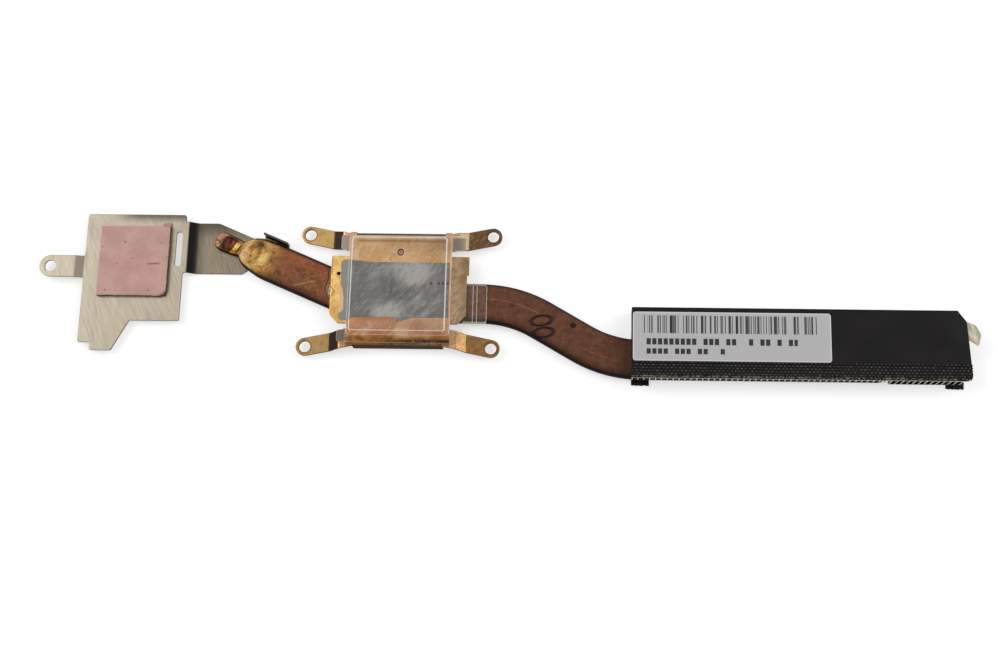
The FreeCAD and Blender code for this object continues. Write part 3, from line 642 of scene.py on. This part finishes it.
for rib_x in (15.62, 16.45):
    first = len(points)
    for y in (-7.6, 1):
        for step in range(rib_steps + 1):
            t = pi * step / rib_steps
            points.append((rib_x + rib_radius * cos(t), y, cover_low + 0.01 + rib_radius * sin(t)))
            white_fold_and_highlight_values.append(0.32 if 0 < step < rib_steps else 0)
    far = first + rib_steps + 1
    faces += [(first + k, first + k + 1, far + k + 1, far + k) for k in range(rib_steps)]
cover = solid_mesh("cover_formed", points, faces)
store(cover, "white_fold_and_highlight", white_fold_and_highlight_values)
for polygon in cover.data.polygons:
    polygon.use_smooth = max(cover.data.vertices[i].co.z for i in polygon.vertices) > (cover_low + 0.02) * MM

f = Finish("clear_plastic", Roughness=0.08, Specular_IOR_Level=0.6)
white_fold_and_highlight = f.attribute("white_fold_and_highlight")
clear = f.node("ShaderNodeBsdfTransparent", Color=(0.985, 0.985, 0.98, 1))
haze = f.noise(0.9, 4)
lobe = f.step(abs(f.x), 10.85, 11.1) * f.step(abs(f.y), 8.3, 8.5)
to_right, to_back = f.step(f.x, -1, 1), f.step(f.y, -1, 1)
gold_lobe = lobe * to_right * (1 - to_back)
tab_low = f.step(f.x, 13.4, 13.7) * f.band(f.y, -8.2, -6.75, 0.12)
# Folds and cut edges go white: stress whitening and painted highlight.
share = (0.02 + 0.025 * haze) * (1 - 0.8 * f.step(-f.y, 9.4, 9.8)) + 0.75 * white_fold_and_highlight
share = share + (lobe - 0.85 * gold_lobe) * (0.5 + 0.4 * haze) + 0.35 * tab_low
cream_edge = lobe * to_right * to_back * (f.step(f.y, 11.2, 11.6) + f.step(f.x, 13.4 + haze * 0.4, 14))
lobe_colour = f.mix(to_back, (116, 108, 96), f.mix(to_right, (164, 155, 148), (134, 125, 113)))
white = f.layers((250, 250, 248), (
    (lobe * (1 - white_fold_and_highlight), lobe_colour),
    (tab_low * (1 - white_fold_and_highlight), (222, 214, 178)),
    (cream_edge.math("MINIMUM", 1) * 0.7, (222, 210, 168))))
f.paint(Base_Color=white)
surface = f.node("ShaderNodeMixShader", Fac=share)
mixed = surface.socket.node.inputs
f.feed(mixed[1], clear)
f.feed(mixed[2], Value(f, f.shader.outputs[0]))
f.feed(f.tree.nodes["Material Output"].inputs["Surface"], surface)
cover.data.materials.append(f.material)
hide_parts("clear_cover")
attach(cover, "root")

# Solder bead: bright tin solder that ran out between the pipe and the left wing.
# Lumpy and silvery, frozen on the pipe.
bead_x, bead_y, bead_length, bead_width = -14.51, -1.64, 2.68, 0.48
bead_low, bead_high = 0.71, 1.19
bead_rows, bead_steps = 28, 12
points = []
for i in range(bead_rows + 1):
    v = i / bead_rows
    y = bead_y + bead_length * v
    swell = sqrt(max(1 - (2 * v - 1) ** 2, 0))
    wide = min((0.22 + 0.26 * swell) * (0.95 + 0.2 * ragged(y, 0.4, 12)), bead_width)
    tall = (0.1 + 0.36 * swell) * (0.85 + 0.3 * ragged(y, 0.35, 13))
    for k in range(bead_steps + 1):
        t = pi * k / bead_steps
        dent = 1 + 0.15 * noise.noise(Vector((cos(t) * 1.5, y * 3, 5)))
        points.append((bead_x - wide * (0.5 - 0.5 * cos(t)), y,
                       min(bead_low + tall * sin(t) * dent, bead_high)))
stride = bead_steps + 1
faces = []
for n in range(0, bead_rows * stride, stride):
    faces += [(n + k, n + k + 1, n + stride + k + 1, n + stride + k) for k in range(bead_steps)]
    faces.append((n, n + stride, n + stride + bead_steps, n + bead_steps))
faces.append(tuple(range(stride))[::-1])
faces.append(tuple(range(bead_rows * stride, len(points))))
bead = solid_mesh("bead_frozen", points, faces)
f = Finish("bright_solder", Metallic=1)
lumps = f.noise(0.35, 4)
silver = f.mix(f.step(lumps, 0.4, 0.6), (150, 148, 145), (246, 247, 248))
f.paint(Base_Color=silver, Roughness=0.18 + 0.2 * lumps, Normal=f.bump(lumps, 0.3))
bead.data.materials.append(f.material)
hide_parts("solder_bead")
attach(bead, "root")

# Side bracket: one stamping of plated steel with a screw tab, a slotted pad plate and a neck.
# Brushed on the slant and plated; its saddle is soldered under the pipe.
f = Finish("plated_steel", Metallic=0.9)
grain = f.noise(0.11, 3, (1, 30), 0.28)
wave = f.noise(1.2, 3, (1, 4), 0.28)
cloud = f.noise(7, 2)
brush = f.noise(0.17, 2, (1, 30), 0.43)
# Neck: painted shade, darker towards its back edge and near its joggle.
neck_colour_and_shade = f.layers((122, 112, 96), (
    (f.step(grain, 0.3, 0.7), (150, 138, 118)),
    (f.step(f.y, 10.5, 15) * 0.75, (62, 57, 50)),
    (f.fall(f.x, -44, -41.8) * 0.6, (70, 62, 54))))
# Raised lip at the end of the neck: its face painted dark as shade.
on_lip = f.step(f.x, -34.5, -32) * f.step(f.z, -1.2, -0.9)
sheared_and_shaded, eased_normal = cut_edge(f, 0.18)
steel = f.layers((158, 148, 132), (
    (f.step(grain, 0.3, 0.7), (178, 168, 150)),
    (f.step(brush, 0.42, 0.6) * 0.35, (186, 178, 160)),
    (f.fall(brush, 0.3, 0.44) * 0.35, (136, 127, 112)),
    (f.step(wave, 0.5, 0.7) * 0.3, (146, 136, 120)),
    (f.step(cloud, 0.4, 0.7) * 0.3, (172, 160, 132)),
    (f.step(f.noise(0.3, 2), 0.7, 0.8) * 0.4, (96, 88, 76)),
    (f.step(f.y, 14.2, 16.3) * f.step(f.x, -64, -56) * 0.75, (66, 58, 48)),
    (f.step(f.x, -45.6, -43.6), neck_colour_and_shade),
    # Painted shade on the neck's joggle.
    (f.band(f.x, -45.7, -43.9, 0.15), f.mix(f.step(f.x, -44.7, -43.9), (16, 14, 13), (48, 39, 34))),
    (f.band(f.x, -69.3, -67.6, 0.06), (172, 160, 142)),
    # Painted shade on the raised lip's face.
    (on_lip, f.mix(grain, (66, 60, 54), (108, 100, 90))),
    # Cut edges painted dark: sheared metal and painted shade.
    (sheared_and_shaded * 0.8, (38, 34, 29))))
f.paint(Base_Color=steel, Roughness=0.34 + 0.12 * wave, Normal=f.bump(grain, 0.02, Normal=eased_normal))
dress("side_bracket")

# Gap pad: soft pink silicone for a second chip, cut by hand, with a slit and torn corners.
# Matte, with a few dark specks; it sticks to the bracket.
pad_x0, pad_x1, pad_y0, pad_y1 = -64.2, -49.35, -1.79, 13.66
pad_low, pad_high = -0.2, 0.8
pad_steps = 110


def pad_top(x, y):
    """Height of the pad's upper face."""
    rim = min(x - pad_x0, pad_x1 - x, y - pad_y0, pad_y1 - y)
    z = pad_high - 0.03 - 0.16 * exp(-rim / 0.22)
    z += 0.03 * noise.fractal(Vector((x / 2.6, y / 2.6, 1)), 0.8, 2, 4)
    z -= 0.26 * bell(y, 5.25 + 0.05 * (x + 52.4), 0.16) * (-53.9 < x < -50.9)
    torn = max(0, 1 - (abs(x - pad_x1) + abs(y - pad_y0)) / (1.5 + 0.4 * ragged(x + y, 0.6, 3)))
    return min(z, pad_high) - 0.75 * min(torn * 3, 1)


points = []
for i in range(pad_steps + 1):
    for j in range(pad_steps + 1):
        u, v = i / pad_steps, j / pad_steps
        x = pad_x0 + u * (pad_x1 - pad_x0)
        y = pad_y0 + v * (pad_y1 - pad_y0)
        z = pad_top(x, y)
        if u in (0, 1):
            x -= (2 * u - 1) * (0.12 + (0.07 + 0.05 * u) * ragged(y, 0.8 - 0.5 * u, 5 + u))
        if v in (0, 1):
            y -= (2 * v - 1) * (0.10 + 0.08 * ragged(x, 0.8, 6 + v))
        points.append((x, y, z))


def close_below(points, faces, columns, rows, low):
    """Sides and underside of a piece whose upper face is a grid."""
    border = grid_border(columns, rows)
    first = len(points)
    count = len(border)
    points += [(points[k][0], points[k][1], low) for k in border]
    faces += [(border[i], first + i, first + (i + 1) % count, border[(i + 1) % count]) for i in range(count)]
    faces.append(tuple(range(first, first + count))[::-1])


faces = grid_faces(pad_steps, pad_steps)
close_below(points, faces, pad_steps, pad_steps, pad_low)
tear_steps = 14
first = len(points)
for i in range(tear_steps + 1):
    u = i / tear_steps
    x = pad_x1 - 1.85 + 1.8 * u
    near_y = pad_y1 - 0.15
    far_y = pad_y1 + 0.72 + 0.12 * u + 0.12 * ragged(u, 0.25, 8)
    high = pad_low + 0.36 + 0.1 * ragged(u, 0.2, 11)
    middle_y, end_y = (near_y + far_y) / 2, min(far_y, pad_y1 + 0.98)
    points += [(x, near_y, pad_low), (x, near_y, high - 0.12), (x, middle_y, min(high, pad_low + 0.49)),
               (x, end_y, high - 0.14), (x, end_y, pad_low)]
faces += wrap_faces(tear_steps + 1, 5, first)
faces.append(tuple(range(first, first + 5))[::-1])
faces.append(tuple(range(len(points) - 5, len(points))))
pad = solid_mesh("pad_cut", points, faces)

f = Finish("pink_silicone", Roughness=0.75)
cloud = f.noise(3.5, 3)
fine = f.noise(0.35, 3)
rub = f.noise(1.2, 3, (3, 0.6), 0.5)
pink = f.layers((184, 143, 134), (
    (f.step(cloud, 0.35, 0.65), (194, 154, 144)),
    (f.step(rub, 0.55, 0.75) * 0.4, (200, 163, 153)),
    (f.fall(fine, 0.2, 0.34) * 0.35, (150, 106, 100))))
specks = ((-58.8, 10, 0.16), (-57.1, 6.4, 0.13), (-60.2, 5.2, 0.12), (-62.3, -0.6, 0.14),
          (-53.1, -0.6, 0.14), (-63.55, 8.95, 0.13), (-51.2, 9.9, 0.1))
for speck_x, speck_y, size in specks:
    pink = f.mix(f.fall(f.away(speck_x, speck_y), size * 0.6, size * 1.3), pink, (38, 28, 28))
slit = f.near(f.y - 0.05 * (f.x + 52.4), 5.25, 0.2) * f.band(f.x, -53.7, -51.1, 0.3)
crease = f.near(f.y - 0.08 * (f.x + 50.4), 5.42, 0.14) * f.band(f.x, -51.4, -49.6, 0.2)
pink = f.layers(pink, (
    (slit * 0.85, (122, 52, 48)),
    (crease * 0.5, (216, 174, 166)),
    # Painted shade on the pad's sides and its lower torn corner.
    (f.fall(f.z, 0.25, 0.62) * (1 - 0.75 * f.step(f.y, 13.5, 13.7)), (74, 50, 48))))
f.paint(Base_Color=pink, Normal=f.bump(fine * 0.5 + rub, 0.12))
pad.data.materials.append(f.material)
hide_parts("bracket_pad")
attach(pad, "root")

# Fins: folded aluminium sheet, zipped side by side and soldered over the pipe.
# Dull metal; the webs painted dark as the shade between the fins, and the cut ends painted bright, partly bare
# cut metal and partly painted highlight.
# The full-height ones past the pipe are drawn here, with feet out to the front.
f = Finish("fin_aluminium", Roughness=0.45)
cloud = f.noise(0.9, 3)
cut_end_and_highlight = f.step(f.y, -3.6, -3.56) + f.step(-f.y, 18.5, 18.54) * f.step(f.z, -1.12, -1.06)
# Webs painted dark as the shade between the fins; cut ends painted bright, bare cut metal and painted
# highlight.
metal = f.layers((54, 51, 48), (
    (f.step(-f.z, 1.27, 1.29), f.mix(cloud, (150, 146, 138), (182, 178, 170))),
    (cut_end_and_highlight, f.mix(f.step(cloud, 0.35, 0.65), (206, 196, 174), (250, 246, 234)))))
f.paint(Base_Color=metal, Metallic=0.8 * (1 - cut_end_and_highlight))
dress("fins_over_pipe")

fin_low, fin_high, fin_sheet = -1.3, 2.8, 0.2
fin_pitch, fin_depth, fin_count = 1.22, 15, 13
row_x, row_y = 102.68, -18.55
corner_x, corner_slope = 116.82, 2.4 / 1.8
foot_top, head_under = fin_low + fin_sheet, fin_high - fin_sheet
profile = [(0, fin_low), (fin_pitch, fin_low), (fin_pitch, foot_top), (fin_sheet, foot_top),
           (fin_sheet, head_under), (fin_pitch, head_under), (fin_pitch, fin_high), (0, fin_high)]


def prism_faces(count):
    """Sides and ends of a prism whose two end loops of count points follow each other."""
    sides = [(k, (k + 1) % count, (k + 1) % count + count, k + count) for k in range(count)]
    return sides + [tuple(range(count))[::-1], tuple(range(count, 2 * count))]


class Group(Graph):
    """Geometry node group whose named inputs end with its material."""

    kinds = {int: "Int", float: "Float", tuple: "Vector", bpy.types.Material: "Material"}

    def __init__(self, name, **inputs):
        self.tree = bpy.data.node_groups.new(name, "GeometryNodeTree")
        self.tree.is_modifier = True
        self.values = {}
        for way in ("INPUT", "OUTPUT"):
            self.tree.interface.new_socket("Geometry", in_out=way, socket_type="NodeSocketGeometry")
        for key, value in inputs.items():
            kind = "NodeSocket" + self.kinds[type(value)]
            socket = self.tree.interface.new_socket(key.replace("_", " "), in_out="INPUT", socket_type=kind)
            self.values[socket.identifier] = value
        entry = self.tree.nodes.new("NodeGroupInput")
        self.inputs = [Value(self, socket) for socket in list(entry.outputs)[:-1]]

    def settle(self, piece, geometry):
        """Ends the group, runs it on the piece once and keeps the result as its plain mesh."""
        real = self.node("GeometryNodeRealizeInstances", Geometry=geometry)
        dressed = self.node("GeometryNodeSetMaterial", Geometry=real, Material=self.inputs[-1])
        self.node("NodeGroupOutput", Geometry=dressed)
        modifier = piece.modifiers.new(self.tree.name, "NODES")
        modifier.node_group = self.tree
        for identifier, value in self.values.items():
            modifier[identifier] = value
        bpy.context.view_layer.update()
        evaluated = piece.evaluated_get(bpy.context.evaluated_depsgraph_get())
        mesh = bpy.data.meshes.new_from_object(evaluated)
        piece.modifiers.remove(modifier)
        piece.data = mesh


points = [(x, y, z) for y in (0, fin_depth) for x, z in profile]
fins = solid_mesh("fins_full", points, prism_faces(len(profile)), False)
row = Group("fin_row", Fins=fin_count, Pitch=fin_pitch * MM, Row_Start=(row_x * MM, row_y * MM, 0.0),
            Past_Corner=(row_x + fin_pitch - corner_x) * MM, Shortening=corner_slope / (fin_depth * MM),
            Material=f.material)
one_fin, fin_total, pitch, start, past_corner, shortening, _ = row.inputs
line = row.node("GeometryNodeMeshLine", 0, {"mode": "OFFSET"}, Count=fin_total, Start_Location=start,
                Offset=row.node("ShaderNodeCombineXYZ", X=pitch))
past = (row.node("GeometryNodeInputIndex") * pitch + past_corner).math("MAXIMUM", 0)
size = row.node("ShaderNodeCombineXYZ", X=1, Y=1 - past * shortening, Z=1)
row.settle(fins, row.node("GeometryNodeInstanceOnPoints", Points=line, Instance=one_fin, Scale=size))
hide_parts("fins_beyond_pipe")
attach(fins, "root")

# Top film: black insulating film stuck on the fins, cut off at its back right corner.
# Satin, with faint dust and a soft dent near its right end.
f = Finish("black_satin_film", Specular_IOR_Level=0.12)
dust = f.noise(0.22, 3)
cloud = f.noise(9, 2)
sheared_and_shaded, _ = cut_edge(f, 0.08)
dent = f.near(f.x, 114.5, 5.5) * f.near(f.y, -8, 5)
black = f.layers((25, 23, 23), (
    (f.step(cloud, 0.3, 0.7), (31, 29, 28)),
    (f.step(dust, 0.6, 0.8) * 0.3, (58, 55, 53)),
    # Cut edges painted dark: the cut film and painted shade.
    (sheared_and_shaded * 0.7, (10, 9, 9))))
f.paint(Base_Color=black, Roughness=0.45 + 0.12 * dust, Normal=f.bump(dent + 0.2 * f.noise(6, 1), 0.5))
dress("top_film")

# Label: pale paper sticker on the film, rounded at its corners.
# Its print is a plain field of bars and two rows of short blocks.


def chance(number):
    """Random value from 0 to 1 for each whole number."""
    return f.node("ShaderNodeTexWhiteNoise", "Value", {"noise_dimensions": "1D"}, W=number)


f = Finish("label_paper", Roughness=0.6)
fibre = f.noise(0.3, 3)
rim = f.step(abs(f.x - 69.8), 20.2, 20.5).math("MAXIMUM", f.step(abs(f.y + 9.75), 4.85, 5.1))
bar_field = f.band(f.x, 51.4, 87.9, 0.03) * f.band(f.y, -9.1, -5.3, 0.03)
slot_number = (f.x * 5.4).math("FLOOR")
bar = f.step(chance(slot_number), 0.5, 0.52)
shade = chance(slot_number + 71)
paper = f.layers((174, 172, 173), (
    (fibre, (184, 182, 183)),
    # Painted highlight along the label's edges.
    (rim * 0.7, (214, 212, 214)),
    (bar_field * bar, f.mix(shade * shade, (20, 18, 20), (112, 110, 114)))))
for low, high, start, end, seed in ((-11.55, -10.2, 52, 83.4, 3), (-13.5, -12.35, 52, 68.8, 8)):
    row = f.band(f.y, low, high, 0.04) * f.band(f.x, start, end, 0.03)
    place = f.x / 1.18 + seed
    block = f.band(place.math("FRACT"), 0.1, 0.85, 0.05) * f.step(chance(place.math("FLOOR")), 0.14, 0.16)
    paper = f.mix(row * block, paper, (34, 32, 34))
f.paint(Base_Color=paper)
dress("blank_label")

# Woven tape: black cloth tape stuck on the film along its front edge.
# Each crossing of its threads is a small raised knuckle.
tape_x0, tape_x1, tape_front, tape_back = 49, 119.45, -18.4, -15.05
tape_low, tape_high, tape_margin = 2.95, 3.2, 0.15
thread_x, thread_y = 0.425, 0.6
woven_x, woven_y = tape_x1 - tape_x0 - 2 * tape_margin, tape_back - tape_front - 2 * tape_margin
tape_columns, tape_rows = int(woven_x / thread_x), int(woven_y / thread_y)
points, turn_values = [], []
for i in range(tape_columns + 1):
    for j in range(tape_rows + 1):
        x = tape_x0 + tape_margin + i / tape_columns * woven_x
        y = tape_front + tape_margin + j / tape_rows * woven_y
        x -= max(x - 118.6, 0) * max(-17.5 - y, 0) * 0.6
        points.append((x, y, tape_high - 0.1))
        turn_values.append(pi / 2 * ((i + j) % 2))
crossings = len(points)
faces = grid_faces(tape_columns, tape_rows)
close_below(points, faces, tape_columns, tape_rows, tape_low + 0.01)
tape = solid_mesh("tape_woven", points, faces)
border = [0] * (len(points) - crossings)
store(tape, "turn", turn_values + border)
store(tape, "crossing", [1] * crossings + border)

f = Finish("black_cloth", Specular_IOR_Level=0.15)
wear = f.noise(0.42, 3)
raised = f.step(f.z, 3.11, 3.17)
over = f.fall(f.attribute("turn"), 0.5, 1)
cloth = f.layers((20, 18, 18), (
    (raised * (0.15 + 0.85 * over), f.mix(f.step(wear, 0.38, 0.66), (50, 46, 45), (104, 99, 95))),
    (f.step(-f.y, 17.8, 18.2) * f.step(wear, 0.46, 0.6) * 0.75, (150, 142, 128))))
f.paint(Base_Color=cloth, Roughness=0.55 + 0.2 * wear)

weave = Group("thread_weave", Knuckle_Size=(0.25 * MM, 0.17 * MM, 0.09 * MM), Material=f.material)
cloth_base, knuckle_size, _ = weave.inputs
ball = weave.node("GeometryNodeMeshUVSphere", Segments=8, Rings=4, Radius=1)
knuckle = weave.node("GeometryNodeSetShadeSmooth", Geometry=ball)
normal = weave.node("GeometryNodeInputNormal")
face_out = weave.node("FunctionNodeAlignRotationToVector", 0, {"axis": "Z"}, Vector=normal)
turn, crossing = [weave.node("GeometryNodeInputNamedAttribute", 0, {"data_type": "FLOAT"}, Name=name)
                  for name in ("turn", "crossing")]
spin = weave.node("FunctionNodeAxisAngleToRotation", Axis=(0, 0, 1), Angle=turn)
turned = weave.node("FunctionNodeRotateRotation", 0, {"rotation_space": "LOCAL"}, Rotation=face_out,
                    Rotate_By=spin)
placed = weave.node("GeometryNodeInstanceOnPoints", Points=cloth_base, Selection=crossing, Instance=knuckle,
                    Rotation=turned, Scale=knuckle_size)
joined = weave.node("GeometryNodeJoinGeometry", Geometry=cloth_base)
weave.feed(joined.socket.node.inputs["Geometry"], placed)
weave.settle(tape, joined)
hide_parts("woven_tape")
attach(tape, "root")

# Foot strips: two short strips of black tape stuck under the ends of the stack.
# They stand out at the front, with frayed ends.
strip_width, strip_back, strip_front, front_limit = 3.75, -8.45, -19.4, -19.45
strip_low, strip_high, fray_steps = -1.7, -1.3, 40
f = Finish("black_strip", Specular_IOR_Level=0.1)
wear = f.noise(0.45, 3)
f.paint(Base_Color=f.mix(f.step(wear, 0.45, 0.8), (20, 18, 18), (58, 54, 50)), Roughness=0.6 + 0.2 * wear)
for name, x0, seed in (("left_foot_strip", 49, 1.5), ("right_foot_strip", 114.79, 7.5)):
    steps = [strip_width * i / fray_steps for i in range(fray_steps + 1)]
    loop = [(x0 + s, max(strip_front + 0.22 * ragged(s, 0.35, seed), front_limit)) for s in steps]
    loop += [(x0 + strip_width, strip_back), (x0, strip_back)]
    points = [(x, y, z) for z in (strip_low, strip_high) for x, y in loop]
    foot = solid_mesh(name + "_frayed", points, prism_faces(len(loop)), False)
    foot.data.materials.append(f.material)
    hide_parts(name)
    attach(foot, "root")

# Film flap: the loose end of a cream liner film stuck under the right end of the top film.
# Thin, curled up a little at its tip and torn.
flap_corners = [(118.64, -9.6, 0.05), (121, -11.2, 0.3), (121.65, -8.6, 1), (120.6, -6.6, 1),
                (118.64, -5.85, 0.2)]
flap_x, flap_y, flap_z, flap_rings = 119.6, -8.3, 2.73, 10
loop = rounded_outline(flap_corners, 8)
points = [(flap_x, flap_y, flap_z + 0.01)]
for r in range(1, flap_rings + 1):
    for x, y in loop:
        x = flap_x + (x - flap_x) * r / flap_rings
        y = flap_y + (y - flap_y) * r / flap_rings
        curl = 0.05 * sin((y + 8) * 1.3) - 0.03 * max(x - 119.5, 0)
        points.append((x, y, flap_z + curl * 0.8))
count = len(loop)
faces = [(0, 1 + i, 1 + (i + 1) % count) for i in range(count)]
faces += wrap_faces(flap_rings, count, 1)
flap = solid_mesh("flap_curled", points, faces)
f = Finish("cream_film", Roughness=0.45)
cloud = f.noise(0.9, 3, (1, 3), 0.4)
cream = f.mix(f.step(cloud, 0.35, 0.65), (166, 158, 130), (212, 204, 180))
f.paint(Base_Color=cream, Normal=f.bump(cloud, 0.15))
flap.data.materials.append(f.material)
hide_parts("film_flap")
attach(flap, "root")

# Bench: a plain white table top that the module lies on, outside the part.
# Matte; it keeps the soft shadow, and shows its white to the camera and in reflections.
bench_half, bench_z = 1500, -1.7
corners = ((-1, -1), (1, -1), (1, 1), (-1, 1))
points = [(x * bench_half, y * bench_half, bench_z) for x, y in corners]
bench = solid_mesh("bench", points, [(0, 1, 2, 3)], False)
f = Finish("bench_white", Roughness=0.9, Specular_IOR_Level=0.1, Emission_Strength=1)
seen = f.node("ShaderNodeLightPath", "Is Camera Ray")
for ray in ("Is Glossy Ray", "Is Transmission Ray"):
    seen = seen.math("MAXIMUM", f.node("ShaderNodeLightPath", ray))
tone = f.mix(f.noise(40, 2), (0.8, 0.8, 0.8, 1), (0.82, 0.82, 0.82, 1))
glow = f.mix(seen, (0, 0, 0, 1), (0.56, 0.56, 0.56, 1))
f.paint(Base_Color=f.mix(seen, tone, (0.54, 0.54, 0.54, 1)), Emission_Color=glow)
bench.data.materials.append(f.material)

# Light: two large soft boxes, left and right of the module, aimed at its middle.
# The room round them is an even grey that fills the shadows.
for name, place, power in (("left_box", (-0.62, 0.25, 0.62), 3.6), ("right_box", (0.75, 0.15, 0.55), 3.2)):
    box = bpy.data.lights.new(name, "AREA")
    box.size = 0.6
    box.energy = power
    lamp = put(name, box)
    lamp.location = place
    lamp.rotation_euler = (Vector((0.03, 0, 0)) - Vector(place)).to_track_quat("-Z", "Y").to_euler()
scene.world = world = bpy.data.worlds.new("room")
world.use_nodes = True
world.node_tree.nodes["Background"].inputs["Color"].default_value = (0.5, 0.5, 0.5, 1)

# Camera: over the module, tipped a little from the front, as the photo was taken.
# Lens, place and angles are those of the camera fitted to the photo.
focal_pixels, image_pixels = 1369, 1000
lens = bpy.data.cameras.new("camera")
lens.sensor_width = 36
lens.lens = focal_pixels * lens.sensor_width / image_pixels
lens.shift_x = -0.0742
lens.clip_start = 0.01
camera = put("camera", lens)
tilt, yaw, roll = [radians(a) for a in (12.90, 0.28, 0.73)]
aim = Matrix.Rotation(yaw, 4, "Y") @ Matrix.Rotation(tilt, 4, "X") @ Matrix.Rotation(roll, 4, "Z")
camera.matrix_world = Matrix.Translation((0.03836, -0.07291, 0.2803)) @ aim
scene.camera = camera
scene.view_settings.view_transform = "Standard"
